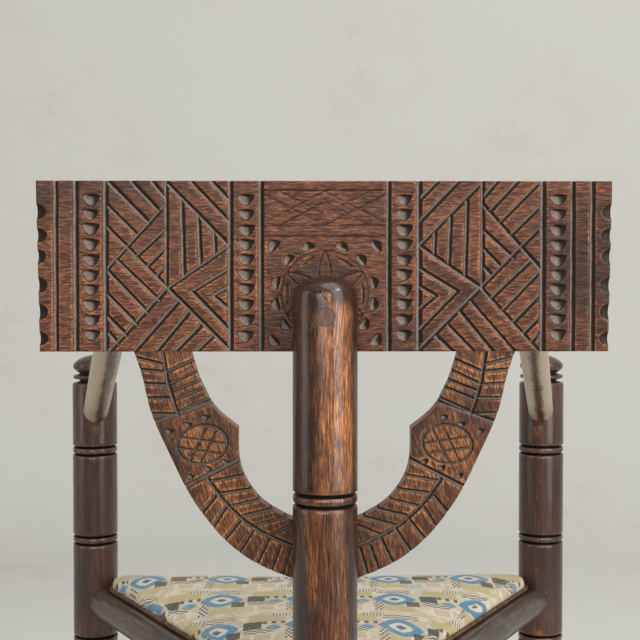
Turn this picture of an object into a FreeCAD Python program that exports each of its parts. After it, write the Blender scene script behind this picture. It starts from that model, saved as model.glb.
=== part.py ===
import FreeCAD, Part
import math
import os
import re
import Sketcher

# A three-legged corner chair of turned and carved oak: one post behind the sitter, two in front.
# X runs across the chair, +Y to its back and +Z up. The origin is on the floor, at the middle of
# the chair's box, and +X is the sitter's left. All sizes are in millimetres.

Vector = FreeCAD.Vector
UP = Vector(0, 0, 1)

document = FreeCAD.newDocument("corner_chair")

# Driving sizes
sizes = document.addObject("Spreadsheet::Sheet", "Sizes")
DRIVING_SIZES = (
    ("post_dia", 52, "diameter of the three posts"),
    ("front_spacing", 530, "between the axes of the front posts"),
    ("side_depth", 459, "from the front posts' axes back to the rear post's axis"),
    ("foot_bevel", 3, "bevel round the foot of each post"),
    ("front_height", 686, "top of the button on a front post"),
    ("button_height", 25, "height of that button"),
    ("button_shrink", 0.5, "how far the button and the thin ring stay inside the post's face"),
    ("button_neck_dia", 34, "neck under the button and under the thin ring"),
    ("thin_ring", 5, "height of the thin ring under the button"),
    ("neck_height", 2.5, "each neck beside the thin ring"),
    ("rear_height", 773, "top of the rear post's dome"),
    ("dome_height", 17, "height of that dome"),
    ("button_crown", 13.5, "height of the button's round top"),
    ("button_flare", 6.5, "height over which the button widens from its neck"),
    ("ring_band", 12.5, "height of a turned ring with its two V cuts"),
    ("ring_bead", 5.5, "height of the ring between the cuts"),
    ("ring_cut", 4, "depth of the V cuts"),
    ("ring_low", 232, "height of the ring above the stretchers"),
    ("ring_mid", 350, "height of the ring under the seat rails"),
    ("ring_arm_low", 469, "front posts: ring above the seat"),
    ("ring_arm_high", 574, "front posts: ring under the arm"),
    ("ring_rear_high", 597, "rear post: ring behind the yoke"),
    ("rail_height", 395, "axis of the seat rails above the floor"),
    ("rail_dia", 32, "diameter of the seat rails"),
    ("rail_tenon_dia", 18, "tenon of a seat rail"),
    ("stretcher_height", 148, "axis of the stretchers above the floor"),
    ("stretcher_dia", 26, "diameter of the stretchers"),
    ("stretcher_tenon_dia", 15, "tenon of a stretcher"),
    ("tenon_heart", 4, "from a post's axis to the tip of a rail's or stretcher's tenon"),
    ("mitre_gap", 0.3, "between two tenons that meet in a post"),
    ("joint_gap", 0.1, "clearance round every glued joint"),
    ("bore_extra", 1, "depth of a socket past the tip of its tenon"),
    ("tenon_root", 10, "how far a tenon's round runs back into its own piece"),
    ("arm_front_height", 614, "arm's axis where it crosses the post's axis"),
    ("arm_dia", 28.5, "diameter of the arms"),
    ("arm_tenon_dia", 18, "arm's tenon in the front post"),
    ("arm_tenon_past", 14, "that tenon's length past the post's axis"),
    ("arm_pin_dia", 14, "arm's tenon in the crest"),
    ("arm_pin_depth", 13, "depth of that tenon in the crest"),
    ("arm_rear_reach", 165, "from the middle of the crest out to the arm"),
    ("arm_rear_rise", 67, "from the crest's bottom edge up to the arm"),
    ("peg_dia", 10, "peg that locks the arm's tenon"),
    ("peg_length", 38, "length of that peg"),
    ("peg_height", 600, "height of that peg"),
    ("crest_bottom", 713, "bottom edge of the crest"),
    ("crest_height", 137.5, "height of the crest"),
    ("crest_top_half", 232, "half of the crest's length, at its top edge"),
    ("crest_end_lean", 2.5, "how far each end leans in towards the bottom edge"),
    ("crest_thick", 22, "thickness of the crest"),
    ("housing_depth", 12, "from the rear post's axis to the back of the crest"),
    ("yoke_recess", 1, "how far the yoke's back lies in front of the crest's back"),
    ("yoke_thick", 20, "thickness of the yoke"),
    ("yoke_top_out", 153, "outer edge of the yoke's limb at the crest"),
    ("yoke_top_in", 106.5, "inner edge of the yoke's limb at the crest"),
    ("yoke_hip_out", 110, "outer edge of the yoke at its hip"),
    ("yoke_hip_drop", 115, "from the crest down to that hip"),
    ("yoke_depth", 190, "from the crest down to the yoke's lowest edge"),
    ("yoke_boss_in", 68.5, "inner edge of the round boss on each limb"),
    ("yoke_boss_top", 62, "from the crest down to the boss"),
    ("yoke_boss_long", 28.5, "length of the boss's straight inner edge"),
    ("yoke_band", 47, "height of the yoke where it crosses the rear post"),
    ("dowel_dia", 8, "dowels between the yoke and the crest"),
    ("dowel_length", 36, "length of those dowels"),
    ("dowel_offset", 10, "from the middle of a limb to each of its dowels"),
    ("yoke_peg_dia", 10, "peg that holds the yoke in the rear post"),
    ("yoke_peg_length", 36, "length of that peg"),
    ("plug_rise", 29, "from the crest's bottom edge up to its screw"),
    ("plug_dia", 15, "wooden plug over the crest's screw"),
    ("plug_length", 8, "length of that plug"),
    ("screw_head_dia", 9, "head of the crest's screw"),
    ("screw_head_long", 3.5, "height of that head"),
    ("screw_dia", 4.5, "shank of the crest's screw"),
    ("screw_bite", 15, "how deep that screw goes into the crest"),
    ("field_centre", 126.5, "from the crest's middle to the middle of a carved field"),
    ("field_half", 49.8, "half the width of a carved field"),
    ("moon_lane", 24.4, "width of the lanes of half-moons beside a field"),
    ("end_margin", 15, "from the outer lane to the last upright groove"),
    ("groove_wide", 3.8, "width of a carved V groove"),
    ("groove_deep", 2, "depth of a carved V groove"),
    ("border_wide", 4.8, "width of the upright border grooves"),
    ("border_deep", 2.6, "depth of the upright border grooves"),
    ("moon_half", 7, "half the width of a half-moon cut"),
    ("moon_tall", 9.6, "height of a half-moon cut"),
    ("moon_deep", 3.2, "depth of a half-moon cut"),
    ("moon_pitch", 12, "from one half-moon to the next"),
    ("moon_first", 17.5, "from the crest's bottom edge up to the first half-moon's flat edge"),
    ("moon_last", 126.5, "from the crest's bottom edge up to the last half-moon's flat edge"),
    ("nick_pitch", 20.5, "from one nick on the crest's ends to the next"),
    ("nick_radius", 11, "radius of the gouge that cut those nicks"),
    ("nick_deep", 2.6, "how far a nick eats into the corner"),
    ("seat_inset", 6, "from a seat rail's axis in to the outside of the seat's cloth"),
    ("seat_lift", 20, "from the rails' axes up to the top of the seat board"),
    ("seat_board_thick", 12, "thickness of the seat board"),
    ("seat_corner_gap", 6.5, "from a post to the clipped corner of the seat"),
    ("seat_corner_round", 8, "rounding at the ends of a clipped corner"),
    ("cover_thick", 1.2, "thickness of the seat's cloth"),
    ("cover_lap", 3.3, "how far the cloth laps down over the board's edge"),
    ("cushion_crown", 17, "from the board up to the middle of the cushion"),
    ("cushion_edge", 9, "from the board up to the cushion's shoulder"),
    ("cushion_shoulder", 5, "how far in that shoulder lies"),
    ("cushion_draw", 2.5, "how far a long side is drawn in at its middle"),
    ("cushion_parts", 4, "straight runs in each drawn-in side, and points on each rounded corner"),
    ("gimp_dia", 4.4, "cord along the lower edge of the cloth"),
    ("seat_screw_dia", 4, "shank of the seat's screws"),
    ("seat_screw_head", 8, "head of the seat's screws"),
    ("seat_screw_inset", 11.5, "from a rail's axis in to its screw"),
    ("seat_screw_bite", 9, "how deep a screw goes into the seat board"),
    ("seat_screw_sink", 2, "how far the screw's head is sunk in the rail"),
)
for row, (alias, amount, note) in enumerate(DRIVING_SIZES, 1):
    sizes.set(f"A{row}", note)
    sizes.set(f"B{row}", str(amount))
    sizes.setAlias(f"B{row}", alias)
document.recompute()
ALIASES = re.compile(r"\b(" + "|".join(alias for alias, _, _ in DRIVING_SIZES) + r")\b")


def bound(words):
    """An expression in plain alias names, as other objects have to write it."""
    return ALIASES.sub(r"Sizes.\1", words)


def size(words):
    """What an expression in alias names comes to, as a plain number."""
    return float(sizes.evalExpression(bound(words)))


def bind(thing, **expressions):
    for name, words in expressions.items():
        thing.setExpression(name, bound(words))
    return thing


# Places that several pieces share, each post's on its axis at the floor
POSTS = {
    "front_left": Vector(size("front_spacing / 2"), size("-side_depth / 2"), 0),
    "rear": Vector(0, size("side_depth / 2"), 0),
    "front_right": Vector(size("-front_spacing / 2"), size("-side_depth / 2"), 0),
}
post_cutters = {post: [] for post in POSTS}
crest_cutters = []
yoke_cutters = []
gap = size("joint_gap")
crest_back = POSTS["rear"].y - size("housing_depth")
crest_front = crest_back - size("crest_thick")
yoke_back = crest_back - size("yoke_recess")


def at_height(point, words):
    return Vector(point.x, point.y, size(words))


def laid(thing, start, direction):
    """Puts the foot of a thing that was built along Z on start, with its axis along direction."""
    thing.Placement = FreeCAD.Placement(start, FreeCAD.Rotation(UP, direction))
    return thing


# Sketching and shaping helpers
def plane_of(body, role):
    return next(f for f in body.Origin.OriginFeatures if f.Role == role)


def outline(body, name, corners):
    """A closed sketch in the XZ plane. Each corner is (x, z), or (x, z, via x, via z) at an arc's end."""
    sketch = body.newObject("Sketcher::SketchObject", name)
    sketch.AttachmentSupport = [(plane_of(body, "XZ_Plane"), "")]
    sketch.MapMode = "FlatFace"
    places = [Vector(size(corner[0]), size(corner[1]), 0) for corner in corners]
    ends = []
    for i, corner in enumerate(corners):
        before, place = places[i - 1], places[i]
        ends.append((1, 2))
        if len(corner) == 2:
            sketch.addGeometry(Part.LineSegment(before, place), False)
            continue
        via = Vector(size(corner[2]), size(corner[3]), 0)
        if (via - before).cross(place - via).z < 0:
            # An arc has to run anticlockwise, so this one starts at its corner
            before, place = place, before
            ends[i] = (2, 1)
        sketch.addGeometry(Part.Arc(before, via, place), False)
    for i in range(len(corners)):
        before = (i - 1) % len(corners)
        sketch.addConstraint(Sketcher.Constraint("Coincident", before, ends[before][1], i, ends[i][0]))
    for i, corner in enumerate(corners):
        hold(sketch, i, ends[i][1], corner[0], corner[1])
        if len(corner) == 4:
            via = sketch.addGeometry(Part.Point(Vector(size(corner[2]), size(corner[3]), 0)), True)
            hold(sketch, via, 1, corner[2], corner[3])
            sketch.addConstraint(Sketcher.Constraint("PointOnObject", via, 1, i))
    return sketch


def hold(sketch, edge, end, across, along):
    """Holds one point of a sketch at (across, along), each an expression in alias names."""
    for kind, words, axis in (("DistanceX", across, -2), ("DistanceY", along, -1)):
        if words == "0":
            sketch.addConstraint(Sketcher.Constraint("PointOnObject", edge, end, axis))
            continue
        index = sketch.addConstraint(Sketcher.Constraint(kind, -1, 1, edge, end, size(words)))
        sketch.setExpression(f"Constraints[{index}]", bound(words))


def turned(name, corners):
    """A body turned about Z from a half profile of (radius, height) corners."""
    body = document.addObject("PartDesign::Body", name)
    sketch = outline(body, name + "_profile", corners)
    turning = body.newObject("PartDesign::Revolution", name + "_turning")
    turning.Profile = sketch
    turning.ReferenceAxis = (sketch, ["V_Axis"])
    turning.Angle = 360
    return body


def sawn(name, thickness, corners):
    """A board sawn to half an outline, mirrored about the chair's middle plane. It grows forwards."""
    body = document.addObject("PartDesign::Body", name)
    sketch = outline(body, name + "_half", corners)
    board = body.newObject("PartDesign::Pad", name + "_board")
    board.Profile = sketch
    bind(board, Length=thickness)
    document.recompute()
    twin = body.newObject("PartDesign::Mirrored", name + "_twin")
    twin.Originals = [board]
    twin.MirrorPlane = (plane_of(body, "YZ_Plane"), [""])
    body.Tip = twin
    return body


def cylinder(name, radius, height, start, direction=UP):
    piece = bind(document.addObject("Part::Cylinder", name), Radius=radius, Height=height)
    return laid(piece, start, direction)


def block(name, length, width, height, place):
    piece = bind(document.addObject("Part::Box", name), Length=length, Width=width, Height=height)
    piece.Placement = place
    return piece


def joined(name, pieces):
    if len(pieces) == 1:
        return pieces[0]
    whole = document.addObject("Part::MultiFuse", name)
    whole.Shapes = pieces
    return whole


def without(name, piece, cutters):
    cut = document.addObject("Part::Cut", name)
    cut.Base = piece
    cut.Tool = joined(name + "_cutters", cutters)
    return cut


def fixed_shape(name, shape):
    feature = document.addObject("Part::Feature", name)
    feature.Shape = shape
    return feature


# Posts
def ring_corners(middle):
    """Half profile of one turned ring, upwards: V cut, bead, V cut."""
    face = "post_dia / 2"
    root = "post_dia / 2 - ring_cut"
    low, high = f"{middle} - ring_band / 2", f"{middle} + ring_band / 2"
    cut = "(ring_band - ring_bead) / 4"
    return [
        (face, low),
        (root, f"{low} + {cut}"),
        (face, f"{middle} - ring_bead / 2"),
        (face, f"{middle} + ring_bead / 2"),
        (root, f"{high} - {cut}"),
        (face, high),
    ]


def post_corners(rings, top):
    """Half profile of a post: foot, rings in order, then the corners of its top."""
    foot = [("0", "0"), ("post_dia / 2 - foot_bevel", "0"), ("post_dia / 2", "foot_bevel")]
    shaft = [corner for ring in rings for corner in ring_corners(ring)]
    return foot + shaft + top


button_foot = "front_height - button_height"
ring_top = f"{button_foot} - neck_height"
ring_foot = f"{ring_top} - thin_ring"
shaft_top = f"{ring_foot} - neck_height"


CAP_SHARES = (0.88, 0.64, 0.34)


def crown(top, height, reach):
    """The corners of a round cap in four bevels: where it starts, at reach from the axis, up to its top."""
    radius = f"(({reach}) ^ 2 + {height} ^ 2) / (2 * {height})"
    corners = [(reach, f"{top} - {height}")]
    for share in CAP_SHARES:
        out = f"({reach}) * {share}"
        corners.append((out, f"{top} - {radius} + sqrt(({radius}) ^ 2 - ({out}) ^ 2)"))
    return corners + [("0", top)]


BUTTON_TOP = [
    ("post_dia / 2", shaft_top),
    ("button_neck_dia / 2", ring_foot),
    ("post_dia / 2 - button_shrink", f"{ring_foot} + thin_ring / 2"),
    ("button_neck_dia / 2", ring_top),
    ("button_neck_dia / 2", button_foot),
    ("post_dia / 2 - button_shrink", f"{button_foot} + button_flare"),
] + crown("front_height", "button_crown", "post_dia / 2 - button_shrink")
DOME_TOP = crown("rear_height", "dome_height", "post_dia / 2")
LOW_RINGS = ["ring_low", "ring_mid"]
post_blanks = {}
for post, place in POSTS.items():
    if post == "rear":
        corners = post_corners(LOW_RINGS + ["ring_rear_high"], DOME_TOP)
    else:
        corners = post_corners(LOW_RINGS + ["ring_arm_low", "ring_arm_high"], BUTTON_TOP)
    post_blanks[post] = turned(post + "_post_blank", corners)
    post_blanks[post].Placement.Base = place

# Seat rails and stretchers: three equal rounds between the posts, at two heights
side_length = "sqrt(side_depth ^ 2 + (front_spacing / 2) ^ 2)"
SPANS = {
    "left": ("front_left", "rear", side_length),
    "right": ("rear", "front_right", side_length),
    "front": ("front_right", "front_left", "front_spacing"),
}


def mitre_block(name, corner, along, other):
    """A block beyond the upright plane in which two rounds meet inside a post."""
    bisector = (along + other).normalize()
    beyond = UP.cross(bisector)
    axes = (bisector, beyond)
    if beyond.dot(along) > 0:
        beyond = beyond * -1
        axes = (beyond, bisector)
    start = corner - beyond * size("mitre_gap / 2") - UP * size("post_dia / 2")
    turn = FreeCAD.Rotation(*axes, UP, "XYZ")
    return block(name, "post_dia", "post_dia", "post_dia", FreeCAD.Placement(start, turn))


def cross_round(name, side, height, kind, final=True):
    """A tenoned round between two posts, coped to them and mitred against its neighbours."""
    first_post, last_post, length = SPANS[side]
    first, last = at_height(POSTS[first_post], height), at_height(POSTS[last_post], height)
    along = (last - first).normalize()
    whole = cylinder(name + "_round", f"{kind}_dia / 2", length, first, along)
    copes = []
    tenons = []
    mitres = []
    for post, end, inward in ((first_post, first, along), (last_post, last, along * -1)):
        third = next(p for p in POSTS if p not in (first_post, last_post))
        other = (at_height(POSTS[third], height) - end).normalize()
        foot = end - UP * size("post_dia")
        copes.append(cylinder(f"{name}_{post}_cope", "post_dia / 2 + joint_gap", "2 * post_dia", foot))
        mitres.append(mitre_block(f"{name}_{post}_mitre", end, inward, other))
        tip = end + inward * size("tenon_heart")
        tenon_long = "post_dia / 2 - tenon_heart + tenon_root"
        tenons.append(cylinder(f"{name}_{post}_tenon", f"{kind}_tenon_dia / 2", tenon_long, tip, inward))
        floor = end + inward * size("tenon_heart - bore_extra")
        bore_radius = f"{kind}_tenon_dia / 2 + joint_gap"
        post_cutters[post].append(cylinder(f"{name}_{post}_bore", bore_radius, "post_dia", floor, inward))
    coped = without(name + "_coped", whole, copes)
    tenoned = joined(name + "_tenoned", [coped] + tenons)
    return without(name if final else name + "_mitred", tenoned, mitres)


rail_blanks = {side: cross_round("seat_rail_" + side, side, "rail_height", "rail", False) for side in SPANS}
for side in SPANS:
    cross_round("stretcher_" + side, side, "stretcher_height", "stretcher")
document.recompute()

# Seat: a triangular board in the crook of the rails, with a stuffed pad under cloth
seat_middle = sum(POSTS.values(), Vector()) / len(POSTS)
board_top = size("rail_height + seat_lift")
board_foot = size("rail_height + seat_lift - seat_board_thick")
cover_foot = size("rail_height + seat_lift - cover_lap")


def inward_of(side):
    """The start of a side's axis on the floor, its direction, and the way in to the seat's middle."""
    start, end = (POSTS[post] for post in SPANS[side][:2])
    along = (end - start).normalize()
    return start, along, UP.cross(along)


def seat_corners(depth):
    """The six corners of the seat's plan, depth inside the outer face of the cloth."""
    inset = size("seat_inset") + depth
    clip = size("post_dia / 2 + seat_corner_gap") + depth
    points = []
    for side, next_side in (("left", "right"), ("right", "front"), ("front", "left")):
        start, along, inward = inward_of(side)
        next_start, next_along, next_inward = inward_of(next_side)
        outward = (next_start - seat_middle).normalize()
        corner = next_start - outward * clip
        across = UP.cross(outward)
        for edge_start, edge_inward in ((start, inward), (next_start, next_inward)):
            run = (edge_start + edge_inward * inset - corner).dot(edge_inward) / across.dot(edge_inward)
            points.append(corner + across * run)
    return points


def seat_plan(depth, height, draw=0, parts=0):
    """The seat's outline as a wire: six sides and rounded corners, or with parts, runs drawn in by draw."""
    points = [point + UP * height for point in seat_corners(depth)]
    bend = size("seat_corner_round") - depth
    runs = []
    for i, point in enumerate(points):
        after, before = points[(i + 1) % 6], points[i - 1]
        forward, back = (after - point).normalize(), (before - point).normalize()
        half = forward.getAngle(back) / 2
        cut = bend / math.tan(half)
        centre = point + (forward + back).normalize() * (bend / math.sin(half))
        middle = centre + (point - centre).normalize() * bend
        runs.append((point + back * cut, middle, point + forward * cut))
    edges = []
    for i, (start, middle, end) in enumerate(runs):
        next_start = runs[(i + 1) % 6][0]
        corner = Part.Arc(start, middle, end).toShape()
        if not parts:
            edges += [corner, Part.makeLine(end, next_start)]
            continue
        inward = UP.cross(next_start - end).normalize()
        stops = corner.discretize(parts)
        for number in range(1, parts if i % 2 else 1):
            share = number / parts
            stops.append(end + (next_start - end) * share + inward * (4 * draw * share * (1 - share)))
        stops.append(next_start)
        edges += [Part.makeLine(*pair) for pair in zip(stops, stops[1:])]
    return Part.Wire(edges)


def seat_prism(depth, foot, height):
    return Part.Face(seat_plan(depth, foot)).extrude(UP * height)


CROWN_SHARES = (0.72, 0.3)


def flat_faced(loft):
    """The same solid with each face flat, and each warped one as two triangles."""
    faces = []
    for face in loft.Faces:
        corners = [vertex.Point for vertex in face.OuterWire.OrderedVertexes]
        flats = [corners] if face.findPlane() else [corners[:3], corners[2:] + corners[:1]]
        faces += [Part.Face(Part.makePolygon(flat + flat[:1])) for flat in flats]
    return Part.Solid(Part.Shell(faces))


def cushion(skin, foot):
    """The seat's stuffed shape from foot up, skin inside the cloth: sides drawn in, and a crowned top."""
    draw = size("cushion_draw")
    parts = int(size("cushion_parts"))
    shoulder = size("cushion_shoulder")
    soft = size("cushion_shoulder / 3")
    shoulder_top = board_top + size("cushion_edge") - skin
    rings = [seat_plan(skin, foot, 0, parts)]
    if foot < board_top:
        rings.append(seat_plan(skin, board_top, 0, parts))
    rings.append(seat_plan(skin, (board_top + shoulder_top) / 2, draw, parts))
    rings.append(seat_plan(skin + soft, shoulder_top - soft, draw, parts))
    rings.append(seat_plan(skin + shoulder, shoulder_top, draw, parts))
    rise = size("cushion_crown - cushion_edge")
    for share in CROWN_SHARES:
        ring = seat_plan(skin + shoulder, shoulder_top, 0, parts)
        ring.scale(share, seat_middle + UP * shoulder_top)
        ring.translate(UP * rise * (1 - share ** 2))
        rings.append(ring)
    return flat_faced(Part.makeLoft(rings, True, True))


board_slab = seat_prism(size("cover_thick"), board_foot, size("seat_board_thick"))
board_blank = fixed_shape("seat_board_blank", board_slab)
rail_beds = []
for side, (first_post, last_post, length) in SPANS.items():
    first, last = at_height(POSTS[first_post], "rail_height"), at_height(POSTS[last_post], "rail_height")
    rail_beds.append(cylinder(f"board_{side}_bed", "rail_dia / 2 + joint_gap", length, first, last - first))
fixed_shape("seat_pad", cushion(size("cover_thick"), board_top))
hollow = cushion(size("cover_thick"), cover_foot - 1)
fixed_shape("seat_cover", cushion(0, cover_foot).cut(hollow))

# Gimp: a cord round the lower edge of the cloth
GIMP_SIDES = 8
gimp_radius = size("gimp_dia / 2")
gimp_path = seat_plan(-gimp_radius, cover_foot + gimp_radius)
gimp_edge = gimp_path.OrderedEdges[0]
gimp_start = gimp_edge.valueAt(gimp_edge.FirstParameter)
gimp_across = gimp_edge.tangentAt(gimp_edge.FirstParameter).cross(UP)
gimp_corners = []
for i in range(GIMP_SIDES + 1):
    turn = math.radians(360 * (i + 0.5) / GIMP_SIDES)
    gimp_corners.append(gimp_start + (UP * math.cos(turn) + gimp_across * math.sin(turn)) * gimp_radius)
gimp_section = Part.makePolygon(gimp_corners)
fixed_shape("seat_gimp", gimp_path.makePipeShell([gimp_section], True, False))

# Seat screws: from under the middle of each rail, up into the board
screws = []
screw_ways = {}
neck, rim = size("seat_screw_dia / 2"), size("seat_screw_head / 2")
for side, (first_post, last_post, length) in SPANS.items():
    start, along, inward = inward_of(side)
    place = start + along * (size(length) / 2) + inward * size("seat_screw_inset")
    half_rail = math.sqrt(size("rail_dia / 2") ** 2 - size("seat_screw_inset") ** 2)
    head_foot = at_height(place, "rail_height") + UP * (size("seat_screw_sink") - half_rail)
    shank_long = board_foot + size("seat_screw_bite") - head_foot.z
    head = Part.makeCone(rim, neck, rim - neck, head_foot)
    screws.append(head.fuse(Part.makeCylinder(neck, shank_long, head_foot)).removeSplitter())
    well = Part.makeCylinder(rim + gap, half_rail, head_foot - UP * half_rail)
    sink = Part.makeCone(rim + gap, neck + gap, rim - neck, head_foot)
    way = Part.makeCylinder(neck + gap, shank_long + gap, head_foot)
    screw_ways[side] = fixed_shape(f"seat_screw_way_{side}", well.fuse([sink, way]))
    without("seat_rail_" + side, rail_blanks[side], [screw_ways[side]])
fixed_shape("seat_screws", Part.makeCompound(screws))
without("seat_board", board_blank, rail_beds + list(screw_ways.values()))

# Crest: a sawn plank, carved on both faces, housed in the front of the rear post
crest_blank = sawn("crest_blank", "crest_thick", [
    ("0", "0"),
    ("crest_top_half - crest_end_lean", "0"),
    ("crest_top_half", "crest_height"),
    ("0", "crest_height"),
])
crest_blank.Placement.Base = Vector(0, crest_back, size("crest_bottom"))

# Yoke: a U of board under the crest, with a boss on each limb, crossing the front of the rear post.
# Heights run up from its lowest edge.
LOWER_HIP = ("yoke_hip_out", "yoke_depth - yoke_hip_drop")
LOWER_VIA = ("0.66 * yoke_hip_out", "0.17 * yoke_depth")
BOSS_FOOT = ("yoke_boss_in", "yoke_depth - yoke_boss_top - yoke_boss_long")
UPPER_VIA = ("0.73 * yoke_boss_in", "0.355 * yoke_depth")
yoke_blank = sawn("yoke_blank", "yoke_thick", [
    ("0", "0"),
    LOWER_HIP + LOWER_VIA,
    ("yoke_top_out", "yoke_depth",
     "yoke_hip_out + 0.66 * (yoke_top_out - yoke_hip_out)", "yoke_depth - 0.43 * yoke_hip_drop"),
    ("yoke_top_in", "yoke_depth"),
    ("yoke_boss_in", "yoke_depth - yoke_boss_top",
     "yoke_boss_in + 0.64 * (yoke_top_in - yoke_boss_in)", "yoke_depth - 0.62 * yoke_boss_top"),
    BOSS_FOOT,
    ("0", "yoke_band") + UPPER_VIA,
])
yoke_foot = size("crest_bottom - yoke_depth")
yoke_blank.Placement.Base = Vector(0, yoke_back, yoke_foot)
yoke_housing = sawn("yoke_housing", "post_dia", [
    ("0", "0"),
    LOWER_HIP + LOWER_VIA,
    (BOSS_FOOT[0], BOSS_FOOT[1] + " + 2 * joint_gap"),
    ("0", "yoke_band + 2 * joint_gap", UPPER_VIA[0], UPPER_VIA[1] + " + 2 * joint_gap"),
])
yoke_housing.Placement.Base = Vector(0, yoke_back + gap, yoke_foot - gap)
post_cutters["rear"].append(yoke_housing)
housing_corner = Vector(size("-post_dia"), crest_back + gap - size("post_dia"), size("crest_bottom") - gap)
housing_place = FreeCAD.Placement(housing_corner, FreeCAD.Rotation())
crest_housing = block("crest_housing", "2 * post_dia", "post_dia", "crest_height", housing_place)
post_cutters["rear"].append(crest_housing)


# Arms: from the front posts up and in to the crest, pegged at the post and blind in the crest
arm_run = ("sqrt((front_spacing / 2 - arm_rear_reach) ^ 2 + (side_depth - housing_depth - crest_thick) ^ 2"
           " + (crest_bottom + arm_rear_rise - arm_front_height) ^ 2)")


def arm(side, sign):
    name, post = "arm_" + side, "front_" + side
    front = at_height(POSTS[post], "arm_front_height")
    rear = Vector(sign * size("arm_rear_reach"), crest_front, size("crest_bottom + arm_rear_rise"))
    along = (rear - front).normalize()
    level = Vector(along.x, along.y, 0).normalize()
    whole = cylinder(name + "_round", "arm_dia / 2", arm_run + " + arm_dia", front, along)
    cope_foot = front - UP * size("1.5 * post_dia")
    cope = cylinder(name + "_cope", "post_dia / 2 + joint_gap", "3 * post_dia", cope_foot)
    reach = size("3 * arm_dia")
    trim_corner = rear - Vector(reach / 2, gap, reach / 2)
    trim = block(name + "_trim", "3 * arm_dia", "3 * arm_dia", "3 * arm_dia",
                 FreeCAD.Placement(trim_corner, FreeCAD.Rotation()))
    shouldered = without(name + "_shouldered", whole, [cope, trim])
    tip = front - along * size("arm_tenon_past")
    tenon_long = "arm_tenon_past + post_dia / 2 + tenon_root"
    tenon = cylinder(name + "_tenon", "arm_tenon_dia / 2", tenon_long, tip, along)
    tenon_floor = tip - along * size("bore_extra")
    post_cutters[post].append(cylinder(name + "_tenon_bore", "arm_tenon_dia / 2 + joint_gap",
                                       "arm_tenon_past + post_dia", tenon_floor, along))
    pin_root = rear - along * size("tenon_root")
    pin = cylinder(name + "_pin", "arm_pin_dia / 2", "tenon_root + arm_pin_depth", pin_root, along)
    crest_cutters.append(cylinder(name + "_pin_bore", "arm_pin_dia / 2 + joint_gap",
                                  "tenon_root + arm_pin_depth + bore_extra", pin_root, along))
    peg_mouth = at_height(POSTS[post], "peg_height") + level * size("post_dia / 2")
    peg_blank = cylinder(name + "_peg_blank", "peg_dia / 2", "peg_length", peg_mouth, level * -1)
    peg_bore = cylinder(name + "_peg_bore", "peg_dia / 2 + joint_gap", "peg_length + 2 * bore_extra",
                        peg_mouth + level * size("bore_extra"), level * -1)
    post_cutters[post].append(peg_bore)
    without(name, joined(name + "_tenoned", [shouldered, tenon, pin]), [peg_bore])
    skin_foot = at_height(POSTS[post], "peg_height - peg_dia")
    skin = cylinder(name + "_peg_skin", "post_dia / 2", "2 * peg_dia", skin_foot)
    return flush(name + "_peg", peg_blank, skin)


def flush(name, peg, skin):
    """A peg pared off level with the round face of its post."""
    pared = document.addObject("Part::Common", name)
    pared.Base = peg
    pared.Tool = skin
    return pared


pegs = [arm("left", 1), arm("right", -1)]

# Dowels: two up through the top of each limb of the yoke into the crest
dowels = []
dowel_foot = size("crest_bottom - dowel_length / 2")
limb_middle = size("(yoke_top_out + yoke_top_in) / 2")
for place in (-limb_middle, limb_middle):
    for offset in (-size("dowel_offset"), size("dowel_offset")):
        number = len(dowels) + 1
        foot = Vector(place + offset, yoke_back - size("yoke_thick / 2"), dowel_foot)
        dowels.append(cylinder(f"yoke_dowel_{number}", "dowel_dia / 2", "dowel_length", foot))
        bore_foot = foot - UP * size("bore_extra")
        bore = cylinder(f"yoke_dowel_{number}_bore", "dowel_dia / 2 + joint_gap",
                        "dowel_length + 2 * bore_extra", bore_foot)
        crest_cutters.append(bore)
        yoke_cutters.append(bore)

# Yoke peg: from the front, through the yoke's band and into the rear post
BACKWARD = Vector(0, 1, 0)
yoke_peg_mouth = Vector(0, yoke_back - size("yoke_thick"), yoke_foot + size("yoke_band / 2"))
cylinder("yoke_peg", "yoke_peg_dia / 2", "yoke_peg_length", yoke_peg_mouth, BACKWARD)
yoke_peg_bore = cylinder("yoke_peg_bore", "yoke_peg_dia / 2 + joint_gap", "yoke_peg_length + 2 * bore_extra",
                         yoke_peg_mouth - BACKWARD * size("bore_extra"), BACKWARD)
yoke_cutters.append(yoke_peg_bore)
post_cutters["rear"].append(yoke_peg_bore)

# Crest screw and plug: from behind the rear post, into the crest
FORWARD = BACKWARD * -1
plug_axis = at_height(POSTS["rear"], "crest_bottom + plug_rise")
plug_mouth = plug_axis + BACKWARD * size("post_dia / 2")
plug_blank = cylinder("crest_plug_blank", "plug_dia / 2", "plug_length", plug_mouth, FORWARD)
plug_skin = cylinder("crest_plug_skin", "post_dia / 2", "2 * plug_dia", plug_axis - UP * size("plug_dia"))
flush("crest_plug", plug_blank, plug_skin)
head_back = plug_mouth + FORWARD * size("plug_length + joint_gap")
screw_head = cylinder("crest_screw_head", "screw_head_dia / 2", "screw_head_long", head_back, FORWARD)
shank_long = "post_dia / 2 + housing_depth - plug_length + screw_bite"
screw_shank = cylinder("crest_screw_shank", "screw_dia / 2", shank_long + " - joint_gap", head_back, FORWARD)
joined("crest_screw", [screw_head, screw_shank])
plug_bore = cylinder("crest_plug_bore", "plug_dia / 2 + joint_gap",
                     "plug_length + screw_head_long + joint_gap + bore_extra",
                     plug_mouth + BACKWARD * size("bore_extra"), FORWARD)
screw_way = cylinder("crest_screw_way", "screw_dia / 2 + joint_gap", shank_long, head_back, FORWARD)
post_cutters["rear"] += [plug_bore, screw_way]
crest_cutters.append(screw_way)

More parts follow.
